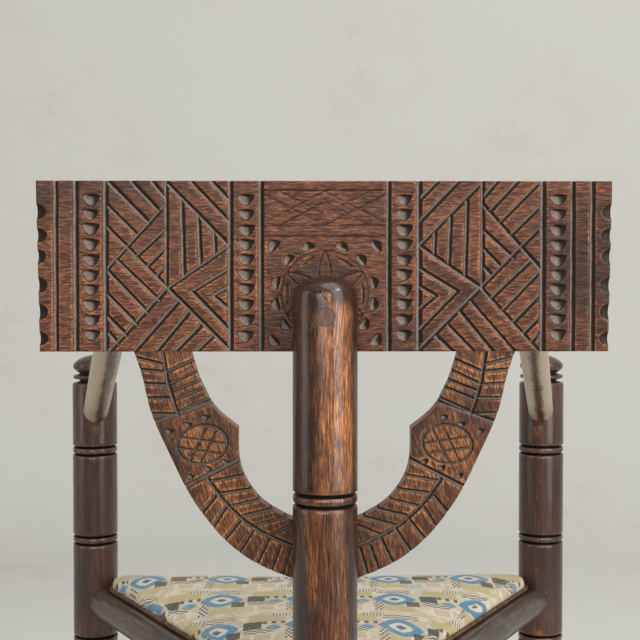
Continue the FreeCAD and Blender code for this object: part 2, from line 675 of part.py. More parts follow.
# Carving on the crest: V grooves and half-moon cuts, alike on both faces and on both halves.
# A field's lines are given as (x, z): x from -1 at its inner border to 1 at its outer one,
# and z from 0 at the crest's bottom edge to 1 at its top edge.
FIELD_LINES = (
    ((0, 0.37), (0, 1)),
    ((1, 0.48), (0, 0.86)),
    ((1, 0.74), (0, 0.37)),
    ((0, 0.37), (-1, 0)),
    ((0, 0.37), (-1, 0.62)),
    ((0, 0.37), (1, 0)),
    ((0, 1), (-1, 0.62)),
)
# A half-moon's section at its stop cut, in shares of its half width and its depth, from the face inwards.
MOON_SECTION = ((-1, 0), (-0.74, -0.68), (0, -1), (0.74, -0.68), (1, 0))
CREST_ORIGIN = Vector(0, crest_back, size("crest_bottom"))


def on_crest(x, z):
    """A point on the crest's back face, x from its middle and z up from its bottom edge."""
    return CREST_ORIGIN + Vector(x, 0, z)


def v_groove(start, end, wide, deep):
    """The wood that a V groove takes out of the back face between two points."""
    along = (end - start).normalize()
    across = BACKWARD.cross(along) * (size(wide) / 2)
    lift = BACKWARD * size("joint_gap")
    spread = across * (1 + size("joint_gap") / size(deep))
    corners = [start + spread + lift, start - spread + lift, start - BACKWARD * size(deep)]
    section = Part.Face(Part.makePolygon(corners + corners[:1]))
    return section.extrude(end - start)


def moon_cutter():
    """What a chip knife takes out below a flat stop cut at the origin. Its floor runs out downwards."""
    deep, half, tall = size("moon_deep"), size("moon_half"), size("moon_tall")
    lift = size("joint_gap")
    corners = [Vector(half * x, deep * y + lift * (y == 0), 0) for x, y in MOON_SECTION]
    section = Part.Face(Part.makePolygon(corners + corners[:1]))
    return section.extrude(Vector(0, deep + lift, -tall * (1 + lift / deep)))


def end_nick(z):
    """A scoop across the corner between the back face and the crest's end, in three flats."""
    lean = size("crest_end_lean / crest_height")
    corner = on_crest(size("crest_top_half") - lean * (size("crest_height") - z), z)
    outward = (BACKWARD + Vector(1, 0, 0)).normalize()
    along = UP.cross(outward)
    reach, deep = size("nick_radius"), size("nick_deep")
    middle = corner + outward * (reach - deep) - along * reach
    spread = math.acos((reach - deep) / reach)
    corners = []
    for turn in (-spread, -spread / 3, spread / 3, spread):
        corners.append(middle - outward * (reach * math.cos(turn)) + UP * (reach * math.sin(turn)))
    corners += [corners[-1] + outward * deep, corners[0] + outward * deep]
    section = Part.Face(Part.makePolygon(corners + corners[:1]))
    return section.extrude(along * (2 * reach))


def spaced(first, last, pitch):
    """Evenly spaced values from first to last, about pitch apart."""
    count = max(1, round((last - first) / pitch))
    return [first + (last - first) * i / count for i in range(count + 1)]


crest_high = size("crest_height")
field_centre, field_half, lane = size("field_centre"), size("field_half"), size("moon_lane")
borders = [field_centre - field_half - lane, field_centre - field_half, field_centre + field_half,
           field_centre + field_half + lane, field_centre + field_half + lane + size("end_margin")]
half_carving = []
for x in borders:
    half_carving.append(v_groove(on_crest(x, 0), on_crest(x, crest_high), "border_wide", "border_deep"))
for ends in FIELD_LINES:
    start, end = (on_crest(field_centre + x * field_half, z * crest_high) for x, z in ends)
    half_carving.append(v_groove(start, end, "groove_wide", "groove_deep"))
moon = moon_cutter()
for x in (field_centre - field_half - lane / 2, field_centre + field_half + lane / 2):
    for z in spaced(size("moon_first"), size("moon_last"), size("moon_pitch")):
        half_carving.append(moon.translated(on_crest(x, z)))
for z in spaced(size("nick_pitch / 2"), crest_high - size("nick_pitch / 2"), size("nick_pitch")):
    half_carving.append(end_nick(z))
crest_middle = CREST_ORIGIN + FORWARD * size("crest_thick / 2")
carving = []
for cutter in half_carving:
    twin = cutter.mirror(crest_middle, Vector(1, 0, 0))
    for side in (cutter, twin):
        carving += [side, side.mirror(crest_middle, BACKWARD)]
document.recompute()
carved_crest = fixed_shape("carved_crest", crest_blank.Shape.cut(carving))

# The pieces that the others are let into
without("crest_plank", carved_crest, crest_cutters)
without("back_yoke", yoke_blank, yoke_cutters)
for post, cutters in post_cutters.items():
    name = "rear_post" if post == "rear" else post.replace("front", "front_post")
    without(name, post_blanks[post], cutters)
joined_pegs = document.addObject("Part::Compound", "arm_pegs")
joined_pegs.Links = pegs
yoke_dowels = document.addObject("Part::Compound", "yoke_dowels")
yoke_dowels.Links = dowels
document.recompute()

PIECES = (
    "rear_post", "front_post_left", "front_post_right", "crest_plank", "back_yoke", "arm_left", "arm_right",
    "seat_rail_left", "seat_rail_right", "seat_rail_front", "stretcher_left", "stretcher_right",
    "stretcher_front", "seat_board", "seat_pad", "seat_cover", "seat_gimp", "seat_screws", "crest_screw",
    "crest_plug", "arm_pegs", "yoke_dowels", "yoke_peg",
)
for thing in document.Objects:
    if "Invalid" in thing.State or "Error" in thing.State:
        raise RuntimeError(f"{thing.Name} did not rebuild: {thing.State}")
os.makedirs("parts", exist_ok=True)
for name in PIECES:
    piece = document.getObject(name)
    if piece.Shape.isNull() or not piece.Shape.isValid():
        raise RuntimeError(f"{name} has no sound shape")
    piece.Shape.exportStep(f"parts/{name}.step")
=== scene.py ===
import math

import bmesh
import bpy
import numpy as np
from mathutils import Matrix, Vector
from mathutils.kdtree import KDTree


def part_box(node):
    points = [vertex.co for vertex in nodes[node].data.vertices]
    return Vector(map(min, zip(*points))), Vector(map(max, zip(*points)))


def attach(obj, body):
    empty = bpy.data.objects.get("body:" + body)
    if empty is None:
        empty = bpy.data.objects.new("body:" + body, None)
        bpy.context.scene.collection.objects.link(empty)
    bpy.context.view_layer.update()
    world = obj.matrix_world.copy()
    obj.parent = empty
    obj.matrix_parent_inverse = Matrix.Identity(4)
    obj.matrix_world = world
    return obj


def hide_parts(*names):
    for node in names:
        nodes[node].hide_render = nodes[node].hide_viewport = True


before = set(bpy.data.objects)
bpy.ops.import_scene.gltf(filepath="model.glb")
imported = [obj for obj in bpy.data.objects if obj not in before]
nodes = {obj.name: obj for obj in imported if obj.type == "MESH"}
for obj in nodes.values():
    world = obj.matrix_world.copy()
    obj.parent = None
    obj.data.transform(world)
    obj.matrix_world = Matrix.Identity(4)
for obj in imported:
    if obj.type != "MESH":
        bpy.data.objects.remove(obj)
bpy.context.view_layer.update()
mm = 0.001  # sizes below are written in millimetres unless they say otherwise


def corners(node):
    low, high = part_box(node)
    return Vector(low) / mm, Vector(high) / mm


# Places read from the frame
crestLow, crestHigh = corners("crest_plank")
yokeLow, yokeHigh = corners("back_yoke")
postAxis = {}
postTop = {}
for post in ("rear_post", "front_post_left", "front_post_right"):
    low, high = corners(post)
    postRadius = (high.x - low.x) / 2
    middle = high.y - postRadius if post == "rear_post" else low.y + postRadius
    postAxis[post] = ((low.x + high.x) / 2, middle)
    postTop[post] = high.z
print("frame loaded, post radius", round(postRadius, 2))


# Camera
cameraPlace = {
    "location": (15.7, 1166.6, 763.1),
    "yaw": -0.0124,
    "pitch": 0.0259,
    "focalPixels": 1178.3,
    "framePixels": 640,
}


def makeCamera():
    yaw, pitch = cameraPlace["yaw"], cameraPlace["pitch"]
    forward = Vector((math.sin(yaw) * math.cos(pitch), -math.cos(yaw) * math.cos(pitch), -math.sin(pitch)))
    right = Vector((-math.cos(yaw), -math.sin(yaw), 0))
    up = right.cross(forward)
    data = bpy.data.cameras.new("photoCamera")
    data.sensor_width = 36
    data.lens = cameraPlace["focalPixels"] / cameraPlace["framePixels"] * data.sensor_width
    data.clip_start = 0.05
    camera = bpy.data.objects.new("photoCamera", data)
    turn = Matrix((right, up, -forward)).transposed().to_4x4()
    camera.matrix_world = Matrix.Translation(Vector(cameraPlace["location"]) * mm) @ turn
    bpy.context.scene.collection.objects.link(camera)
    bpy.context.scene.camera = camera


makeCamera()
bpy.context.scene.view_settings.view_transform = "Standard"
print("camera placed")


# Small tools for node trees
def tone(red, green, blue):  # a colour as the screen shows it, each part 0 to 255
    values = []
    for part in (red / 255, green / 255, blue / 255):
        values.append(part / 12.92 if part <= 0.04045 else ((part + 0.055) / 1.055) ** 2.4)
    return (*values, 1.0)


def makeNode(tree, kind, inputs=None, **settings):
    node = tree.nodes.new(kind)
    for key, value in settings.items():
        setattr(node, key, value)
    for key, value in (inputs or {}).items():
        if isinstance(value, bpy.types.NodeSocket):
            tree.links.new(value, node.inputs[key])
        else:
            node.inputs[key].default_value = value
    return node


def calc(tree, operation, first, second=0.0, third=0.0, clamp=False):
    inputs = {0: first, 1: second, 2: third}
    return makeNode(tree, "ShaderNodeMath", inputs, operation=operation, use_clamp=clamp).outputs[0]


def ease(tree, value, fromLow, fromHigh, toLow=0.0, toHigh=1.0):
    inputs = {"Value": value, "From Min": fromLow, "From Max": fromHigh, "To Min": toLow, "To Max": toHigh}
    return makeNode(tree, "ShaderNodeMapRange", inputs, interpolation_type="SMOOTHSTEP").outputs[0]


def mixColour(tree, factor, first, second, mode="MIX"):
    inputs = {0: factor, 6: first, 7: second}
    return makeNode(tree, "ShaderNodeMix", inputs, data_type="RGBA", blend_type=mode).outputs[2]


def noiseOf(tree, place, scale, stretch=(1, 1, 1), detail=3.0, roughness=0.55):
    scaled = makeNode(tree, "ShaderNodeMapping", {"Vector": place, "Scale": stretch}).outputs[0]
    inputs = {"Vector": scaled, "Scale": scale, "Detail": detail, "Roughness": roughness}
    return makeNode(tree, "ShaderNodeTexNoise", inputs).outputs[0]


def centred(tree, noise, size):  # the same noise, evenly about zero
    return calc(tree, "MULTIPLY_ADD", noise, size, -size / 2)


def partsOf(tree, vector):
    return makeNode(tree, "ShaderNodeSeparateXYZ", {0: vector}).outputs


def objectPlace(tree):
    return makeNode(tree, "ShaderNodeTexCoord").outputs["Object"]


def newGroup(name, inputs, outputs):
    tree = bpy.data.node_groups.new(name, "ShaderNodeTree")
    kinds = {"colour": "NodeSocketColor", "value": "NodeSocketFloat", "vector": "NodeSocketVector"}
    for label, kind in inputs:
        tree.interface.new_socket(name=label, in_out="INPUT", socket_type=kinds[kind])
    for label, kind in outputs:
        tree.interface.new_socket(name=label, in_out="OUTPUT", socket_type=kinds[kind])
    return tree, tree.nodes.new("NodeGroupInput").outputs, tree.nodes.new("NodeGroupOutput").inputs


def useGroup(tree, group, inputs):
    node = tree.nodes.new("ShaderNodeGroup")
    node.node_tree = group
    for key, value in inputs.items():
        if isinstance(value, bpy.types.NodeSocket):
            tree.links.new(value, node.inputs[key])
        else:
            node.inputs[key].default_value = value
    return node.outputs


def newMaterial(name):
    material = bpy.data.materials.new(name)
    material.use_nodes = True
    tree = material.node_tree
    tree.nodes.clear()
    shader = tree.nodes.new("ShaderNodeBsdfPrincipled")
    end = tree.nodes.new("ShaderNodeOutputMaterial")
    tree.links.new(shader.outputs[0], end.inputs[0])
    return material, tree, shader


def attribute(tree, name, output="Fac"):
    return makeNode(tree, "ShaderNodeAttribute", attribute_name=name).outputs[output]


def bump(tree, height, strength, distance):
    return makeNode(tree, "ShaderNodeBump", {"Height": height, "Strength": strength, "Distance": distance}).outputs[0]


# Small tools for meshes
def meshObject(name, points, faces, material=None):
    mesh = bpy.data.meshes.new(name)
    mesh.from_pydata([tuple(point) for point in points], [], [tuple(face) for face in faces])
    mesh.validate()
    mesh.update()
    mesh.shade_smooth()
    if material:
        mesh.materials.append(material)
    piece = bpy.data.objects.new(name, mesh)
    bpy.context.scene.collection.objects.link(piece)
    return piece


def applyModifiers(piece):  # leaves a plain mesh
    shaped = bpy.data.meshes.new_from_object(piece.evaluated_get(bpy.context.evaluated_depsgraph_get()))
    piece.modifiers.clear()
    piece.data = shaped
    return shaped


def outward(piece):  # turns every face outwards
    shape = bmesh.new()
    shape.from_mesh(piece.data)
    bmesh.ops.recalc_face_normals(shape, faces=shape.faces)
    shape.to_mesh(piece.data)
    shape.free()


def setMark(piece, name, values):
    layer = piece.data.attributes.get(name) or piece.data.attributes.new(name, "FLOAT", "POINT")
    layer.data.foreach_set("value", np.asarray(values, np.float32))


def pointsOf(piece):
    flat = np.zeros(len(piece.data.vertices) * 3, np.float32)
    piece.data.vertices.foreach_get("co", flat)
    return flat.reshape(-1, 3).astype(float)


def gridFaces(rows, columns, start=0, flip=False, closed=False):  # quads over rows x columns of points
    row, column = np.meshgrid(np.arange(rows - 1), np.arange(columns if closed else columns - 1), indexing="ij")
    after = (column + 1) % columns
    first = start + row * columns + column
    second = start + row * columns + after
    third = start + (row + 1) * columns + after
    fourth = start + (row + 1) * columns + column
    order = (fourth, third, second, first) if flip else (first, second, third, fourth)
    return np.stack([part.ravel() for part in order], 1)


def smoothNoise(shape, reach, seed):  # even noise, about -1 to 1, with features of that many grid steps
    rng = np.random.default_rng(seed)
    coarse = rng.normal(size=(max(4, int(shape[0] / reach) + 3), max(4, int(shape[1] / reach) + 3)))
    rowAt = np.linspace(1, coarse.shape[0] - 2.001, shape[0])
    columnAt = np.linspace(1, coarse.shape[1] - 2.001, shape[1])
    row, column = np.floor(rowAt).astype(int), np.floor(columnAt).astype(int)
    down, across = rowAt - row, columnAt - column
    down, across = down * down * (3 - 2 * down), across * across * (3 - 2 * across)
    down, across = down[:, None], across[None, :]
    low = coarse[np.ix_(row, column)] * (1 - across) + coarse[np.ix_(row, column + 1)] * across
    high = coarse[np.ix_(row + 1, column)] * (1 - across) + coarse[np.ix_(row + 1, column + 1)] * across
    return low * (1 - down) + high * down


def blurred(values, steps):
    kernel = np.exp(-0.5 * (np.arange(-2 * steps, 2 * steps + 1) / steps) ** 2)
    kernel /= kernel.sum()
    padded = np.pad(values, 2 * steps, mode="edge")
    padded = np.apply_along_axis(lambda line: np.convolve(line, kernel, mode="valid"), 0, padded)
    return np.apply_along_axis(lambda line: np.convolve(line, kernel, mode="valid"), 1, padded)


# Stage: a pale plaster bowl round the chair, seen only from inside, painted dark on the room's side as painted shade,
# and soft lamps
studio = {
    "floorRadius": 2.3,
    "bend": 0.9,
    "bendSteps": 16,
    "wallHeight": 3.4,
    "around": 96,
    "plaster": (206, 205, 199),
    "plasterStain": (196, 191, 180),
    "roomShade": (112, 108, 102),
    "roomShadeFrom": (0.4, 1.6),  # metres along Y over which the wall turns into the room's side, painted dark as its shade
    "mottleScale": 1.3,
    "speckScale": 9.0,
    "speckDepth": 0.004,
    "worldColour": (0.95, 0.97, 1.0, 1.0),
    "worldLevel": 0.42,
    "lamps": {  # place and aim in metres, size, watts, share of gloss
        "window": ((-1.4, 1.55, 1.3), (0.0, 0.15, 0.65), (1.2, 2.4), 37, 0.85),
        "roomFill": ((0.35, 2.9, 1.3), (0.0, 0.1, 0.6), (2.4, 1.4), 45, 0.0),
        "sheenStrip": ((2.15, 0.75, 1.15), (0.0, 0.2, 0.7), (1.0, 1.9), 10, 1.8),
        "overhead": ((-0.5, 0.5, 2.8), (0.0, 0.0, 0.5), (1.6, 1.6), 23, 0.1),
        "skylight": ((-1.36, 1.0, 2.4), (0.0, 0.25, 0.85), (0.36, 0.36), 10, 2.4),
        "wallWash": ((-0.8, -0.75, 2.5), (-0.8, -3.0, 1.3), (2.6, 0.7), 22, 1.0),
    },
}


def makeStage():
    floorRadius, bend, around = studio["floorRadius"], studio["bend"], studio["around"]
    profile = [(floorRadius * 0.5, 0.0), (floorRadius, 0.0)]
    for step in range(1, studio["bendSteps"] + 1):
        angle = step / studio["bendSteps"] * math.pi / 2
        profile.append((floorRadius + bend * math.sin(angle), bend * (1 - math.cos(angle))))
    profile.append((floorRadius + bend, studio["wallHeight"]))
    points = []
    for radius, height in profile:
        for step in range(around):
            angle = step / around * 2 * math.pi
            points.append((radius * math.cos(angle), radius * math.sin(angle), height))
    faces = [list(face) for face in gridFaces(len(profile), around, flip=True, closed=True)]
    points.append((0, 0, 0))
    faces += [(len(points) - 1, step, (step + 1) % around) for step in range(around)]
    material, tree, shader = newMaterial("plasterWall")
    place = objectPlace(tree)
    mottle = noiseOf(tree, place, studio["mottleScale"], detail=5.0, roughness=0.62)
    speck = noiseOf(tree, place, studio["speckScale"], detail=4.0, roughness=0.7)
    stain = calc(tree, "MULTIPLY", ease(tree, mottle, 0.42, 0.72), ease(tree, speck, 0.35, 0.75))
    colour = mixColour(tree, stain, tone(*studio["plaster"]), tone(*studio["plasterStain"]))
    # painted shade: the bowl's camera side is darkened as a dim room
    roomShaded = ease(tree, partsOf(tree, place)[1], *studio["roomShadeFrom"])
    colour = mixColour(tree, roomShaded, colour, tone(*studio["roomShade"]))
    tree.links.new(colour, shader.inputs["Base Color"])
    shader.inputs["Roughness"].default_value = 0.9
    shader.inputs["Specular IOR Level"].default_value = 0.1
    tree.links.new(bump(tree, speck, 0.25, studio["speckDepth"]), shader.inputs["Normal"])
    seeThrough = makeNode(tree, "ShaderNodeBsdfTransparent").outputs[0]
    outside = makeNode(tree, "ShaderNodeNewGeometry").outputs["Backfacing"]
    mixed = makeNode(tree, "ShaderNodeMixShader", {0: outside, 1: shader.outputs[0], 2: seeThrough}).outputs[0]
    end = [node for node in tree.nodes if node.type == "OUTPUT_MATERIAL"][0]
    tree.links.new(mixed, end.inputs[0])
    meshObject("plasterBowl", points, faces, material)
    world = bpy.data.worlds.new("softRoom")
    world.use_nodes = True
    background = world.node_tree.nodes["Background"]
    background.inputs[0].default_value = studio["worldColour"]
    background.inputs[1].default_value = studio["worldLevel"]
    bpy.context.scene.world = world
    for name, (place, aim, size, watts, gloss) in studio["lamps"].items():
        data = bpy.data.lights.new(name, "AREA")
        data.shape = "RECTANGLE"
        data.size, data.size_y = size
        data.energy = watts
        data.specular_factor = gloss
        lamp = bpy.data.objects.new(name, data)
        lamp.location = place
        lamp.rotation_euler = (Vector(aim) - Vector(place)).to_track_quat("-Z", "Y").to_euler()
        lamp.visible_camera = False
        bpy.context.scene.collection.objects.link(lamp)


makeStage()
print("stage made")


# Oak: the grain runs along the Z of the place it is given. Across is streaks to the metre, and Along
# is how drawn out they are. A ramp says between which values a noise comes in
grainLook = {
    "seedShift": (0.371, 0.613, 1.37),
    "sway": (9.0, (1, 1, 0.35), 2.0), "swayBy": (0.03, 0.024),
    "broad": (13.0, (1, 1, 0.4)), "patch": (21.0, (1, 1, 0.6)),
    "streaks": {  # share of Across, share of Along, detail, own place
        "fibre": (0.5, 0.5, 3.0, 0.0), "vary": (0.72, 0.9, 4.0, 0.17), "dash": (1.0, 1.0, 2.0, 0.31),
        "pore": (1.7, 1.2, 1.0, 0.57), "glint": (0.9, 1.3, 2.0, 0.83)},
    "ramps": {
        "broad": (0.32, 0.68), "fibre": (0.44, 0.62), "glow": (0.36, 0.62), "glint": (0.47, 0.62),
        "dash": (0.54, 0.64), "pore": (0.58, 0.66), "ring": (0.55, 0.95), "ringVary": (0.35, 0.6),
        "level": (0.36, 0.66, -0.42, 0.46)},
    "glowShare": 0.3, "poreShare": 0.7, "poreLevel": 0.34, "fibreHeight": 0.35,
    "pith": {"Location": (0.034, 0.018, 0), "Rotation": (0.09, 0.13, 0), "Scale": (1, 1, 0.12)},
    "ringsToMetre": 330.0, "ringWander": 3.0,
}


def makeGrain():
    look = grainLook
    tree, given, gives = newGroup(
        "oakGrain",
        [("Place", "vector"), ("Seed", "value"), ("Pale", "colour"), ("Middle", "colour"), ("Dark", "colour"),
         ("Streak", "value"), ("Pores", "value"), ("Across", "value"), ("Along", "value"), ("Glow", "value"),
         ("Contrast", "value"), ("Rings", "value")],
        [("Colour", "colour"), ("Height", "value"), ("Glint", "value")])

    def times(first, second):
        return calc(tree, "MULTIPLY", first, second)

    def ramp(name, value):
        return ease(tree, value, *look["ramps"][name])

    def moved(place, parts):
        by = makeNode(tree, "ShaderNodeCombineXYZ", parts).outputs[0]
        return makeNode(tree, "ShaderNodeVectorMath", {0: place, 1: by}, operation="ADD").outputs[0]

    place = moved(given["Place"], {part: times(given["Seed"], by) for part, by in enumerate(look["seedShift"])})
    sway = noiseOf(tree, place, *look["sway"])
    swayed = moved(place, {part: times(sway, by) for part, by in enumerate(look["swayBy"])})

    def streaks(name):  # noise drawn out along the grain
        share, drawn, detail, far = look["streaks"][name]
        stretch = makeNode(tree, "ShaderNodeCombineXYZ", {0: 1.0, 1: 1.0, 2: times(given["Along"], drawn)}).outputs[0]
        scaled = makeNode(tree, "ShaderNodeMapping", {"Vector": swayed, "Scale": stretch, "Location": (far, far, far)})
        inputs = {"Vector": scaled.outputs[0], "Scale": times(given["Across"], share), "Detail": detail,
                  "Roughness": 0.6}
        return makeNode(tree, "ShaderNodeTexNoise", inputs).outputs[0]

    broad = noiseOf(tree, place, *look["broad"])
    patch = noiseOf(tree, place, *look["patch"])
    fibre, vary, dash, pore, glint = [streaks(name) for name in ("fibre", "vary", "dash", "pore", "glint")]
    base = mixColour(tree, ramp("broad", broad), given["Dark"], given["Middle"])
    base = mixColour(tree, times(ramp("fibre", fibre), given["Streak"]), base, given["Dark"])
    glow = times(ramp("glow", patch), given["Glow"])
    base = mixColour(tree, times(glow, look["glowShare"]), base, given["Pale"])
    base = mixColour(tree, times(ramp("glint", glint), glow), base, given["Pale"])
    lines = times(ramp("dash", dash), given["Pores"])
    holes = times(ramp("pore", pore), times(given["Pores"], look["poreShare"]))
    dents = calc(tree, "MAXIMUM", lines, holes)
    black = makeNode(tree, "ShaderNodeHueSaturation", {"Value": look["poreLevel"], "Color": given["Dark"]}).outputs[0]
    pith = makeNode(tree, "ShaderNodeMapping", {"Vector": swayed, **look["pith"]}).outputs[0]
    away = makeNode(tree, "ShaderNodeVectorMath", {0: pith}, operation="LENGTH").outputs["Value"]
    ring = calc(tree, "MULTIPLY_ADD", away, look["ringsToMetre"], times(broad, look["ringWander"]))
    ring = times(ramp("ring", calc(tree, "FRACT", ring)), given["Rings"])
    base = mixColour(tree, times(ring, ramp("ringVary", vary)), base, given["Dark"])
    level = calc(tree, "MULTIPLY_ADD", ramp("level", vary), given["Contrast"], 1.0)
    base = makeNode(tree, "ShaderNodeHueSaturation", {"Value": level, "Color": base}).outputs[0]
    tree.links.new(mixColour(tree, dents, base, black), gives["Colour"])
    tree.links.new(calc(tree, "SUBTRACT", times(fibre, look["fibreHeight"]), dents), gives["Height"])
    tree.links.new(glint, gives["Glint"])
    return tree


# Age: dark lines and dusty hollows where the tools cut, the dust's pale grey also a painted sheen, with painted shade
# on the cut walls that face away from the window, and bright wear where hands rub
ageLook = {
    "patch": 17.0, "fine": 300.0, "cutEdge": 0.24,
    "ramps": {"patch": (0.36, 0.6), "rimAll": (1.0, 1.4), "rim": (0.2, 0.8), "glint": (0.38, 0.6),
              "dirt": (0.12, 0.34), "dustsheen": (0.34, 0.7), "lee": (0.1, 0.3), "gloss": (0.12, 0.5)},
    "dirtShare": 0.94, "dustSheenVary": 1.6, "dustSheenLeast": 0.1, "leeClear": 0.95,
    "roughness": 0.30, "roughVary": 0.2, "roughDust": 0.08, "roughShade": 0.4, "glossLost": 0.9,
}


def makeAge():
    look = ageLook
    tree, given, gives = newGroup(
        "woodAge",
        [("Place", "vector"), ("Colour", "colour"), ("Cut", "value"), ("PaintedShade", "value"), ("Rim", "value"),
         ("Glint", "value"), ("Worn", "colour"), ("Dirt", "colour"), ("Dustsheen", "colour"), ("Wear", "value")],
        [("Colour", "colour"), ("Roughness", "value"), ("Gloss", "value")])

    def times(first, second, clamp=False):
        return calc(tree, "MULTIPLY", first, second, clamp=clamp)

    def ramp(name, value):
        return ease(tree, value, *look["ramps"][name])

    patch = noiseOf(tree, given["Place"], look["patch"])
    fine = noiseOf(tree, given["Place"], look["fine"])
    cut = calc(tree, "ADD", given["Cut"], centred(tree, fine, look["cutEdge"]))
    rub = times(ramp("rim", given["Rim"]), calc(tree, "MAXIMUM", ramp("patch", patch), ramp("rimAll", given["Rim"])))
    rub = times(rub, times(ramp("glint", given["Glint"]), given["Wear"]))
    colour = mixColour(tree, rub, given["Colour"], given["Worn"])
    colour = mixColour(tree, times(ramp("dirt", cut), look["dirtShare"]), colour, given["Dirt"])
    # dust in the cuts, its pale grey also a painted sheen from the window
    sheenedDust = times(ramp("dustsheen", cut), calc(tree, "MULTIPLY_ADD", fine, look["dustSheenVary"], look["dustSheenLeast"]), clamp=True)
    # painted shade: cut walls that face away from the window lose the pale dust and show the dark dirt
    sheenedDust = times(sheenedDust, calc(tree, "MULTIPLY_ADD", given["PaintedShade"], -look["leeClear"], 1.0))
    tree.links.new(mixColour(tree, sheenedDust, colour, given["Dustsheen"]), gives["Colour"])
    rough = calc(tree, "MULTIPLY_ADD", fine, look["roughVary"], look["roughness"])
    rough = calc(tree, "MULTIPLY_ADD", sheenedDust, look["roughDust"], rough)
    shaded = times(given["PaintedShade"], ramp("lee", cut))
    tree.links.new(calc(tree, "MULTIPLY_ADD", shaded, look["roughShade"], rough), gives["Roughness"])
    tree.links.new(calc(tree, "MULTIPLY_ADD", ramp("gloss", cut), -look["glossLost"], 1.0), gives["Gloss"])
    return tree


grainGroup = makeGrain()
ageGroup = makeAge()

oakLooks = {  # colours as on the screen. Shade and scar are only for the pieces that are worn so, the arms' flank colour is a painted sheen, and the dust colour of the carved boards is partly a painted sheen
    "oakPlank": {"pale": (130, 77, 48), "middle": (84, 52, 38), "dark": (62, 40, 31), "worn": (184, 114, 68),
                 "dirt": (24, 18, 14), "dustsheen": (122, 108, 99), "streak": 0.5, "pores": 0.7, "wear": 0.72,
                 "across": 1200, "along": 0.11, "glow": 0.8, "contrast": 1.35, "rings": 0.25,
                 "coat": 0.05, "shine": 0.2},
    "oakYoke": {"pale": (140, 86, 50), "middle": (92, 59, 40), "dark": (58, 38, 29), "worn": (196, 128, 72),
                "dirt": (24, 18, 14), "dustsheen": (106, 94, 86), "streak": 0.5, "pores": 0.7, "wear": 0.75,
                "across": 1000, "along": 0.14, "glow": 0.9, "contrast": 1.25, "rings": 0.2,
                "coat": 0.05, "shine": 0.22},
    "oakRearPost": {"pale": (186, 118, 66), "middle": (136, 84, 50), "dark": (84, 54, 38), "worn": (190, 120, 72),
                    "dirt": (24, 18, 17), "dustsheen": (30, 23, 21), "streak": 0.6, "pores": 0.9, "wear": 0.3,
                    "across": 1300, "along": 0.065, "glow": 1.0, "contrast": 1.35, "rings": 0.8,
                    "shade": (0.27, 0.26, 0.3), "scar": (178, 112, 64), "coat": 0.8, "shine": 0.15},
    "oakFrontPost": {"pale": (100, 65, 50), "middle": (74, 49, 39), "dark": (48, 34, 29), "worn": (132, 86, 60),
                     "dirt": (20, 15, 14), "dustsheen": (26, 20, 19), "streak": 0.4, "pores": 0.35, "wear": 0.4,
                     "across": 560, "along": 0.05, "glow": 0.5, "contrast": 0.3, "rings": 0.2,
                     "scar": (138, 76, 42), "coat": 0.7, "shine": 0.2},
    "oakRail": {"pale": (96, 80, 64), "middle": (62, 52, 43), "dark": (38, 32, 28), "worn": (124, 96, 72),
                "dirt": (24, 19, 18), "dustsheen": (34, 28, 26), "streak": 0.6, "pores": 0.6, "wear": 0.3,
                "across": 620, "along": 0.07, "glow": 0.7, "contrast": 0.8, "rings": 0.2, "coat": 0.5},
    "oakArm": {"pale": (164, 108, 66), "middle": (116, 76, 48), "dark": (66, 45, 32), "worn": (160, 108, 68),
               "dirt": (26, 20, 18), "dustsheen": (36, 29, 26), "streak": 0.6, "pores": 0.6, "wear": 0.4,
               "across": 700, "along": 0.08, "glow": 0.8, "contrast": 0.9, "rings": 0.3, "coat": 0.2,
               "shine": 0.4, "tint": (1.0, 0.9, 0.8), "flankSheen": (186, 168, 142)},
    "oakFrontPeg": {"pale": (150, 88, 54), "middle": (92, 58, 42), "dark": (50, 35, 29), "dirt": (30, 22, 19),
                    "streak": 0.6, "pores": 0.8, "across": 600, "along": 0.5, "glow": 0.9, "contrast": 1.0,
                    "rings": 0.0},
    "oakPeg": {"pale": (206, 130, 72), "middle": (146, 88, 50), "dark": (82, 50, 34), "dirt": (20, 15, 14),
               "streak": 0.6, "pores": 0.8, "across": 700, "along": 0.12, "glow": 0.9, "contrast": 1.0,
               "rings": 0.3},
}


def grainOf(tree, values, place, seed):
    inputs = {"Place": place, "Seed": seed}
    for part in ("pale", "middle", "dark"):
        inputs[part.title()] = tone(*values[part])
    for part in ("streak", "pores", "across", "along", "glow", "contrast", "rings"):
        inputs[part.title()] = values[part]
    return useGroup(tree, grainGroup, inputs)


wearAndLightLook = {
    "edge": (60.0, (1, 1, 0.12)), "rubEdge": 0.9, "rubbed": (0.3, 0.85), "warmEdge": 0.7,
    "warm": (0.4, 0.95, 0.66, 1.16),
    # the speckle, streak and flank settings paint the sheen on the arms' flanks
    "speckle": (260.0, (1, 0.5, 1), 4.0, 0.7), "speckleShare": 0.7, "streakSway": (26.0, (1, 1, 1), 2.0),
    "streakWander": 0.5, "streakHalf": 0.42, "flankSheen": (0.08, 0.4), "flankSheenShare": 0.8, "streakLevel": 0.6,
    "streakAt": {"left": 0.32, "right": -0.04},  # as a part of the surface normal along X
    "chips": (480.0, (1, 1, 0.6), 3.0, 0.7), "chipEdge": 2.4, "bare": (0.4, 0.95), "scarEdge": (0.05, 0.3),
    "scarShare": 0.85,
}


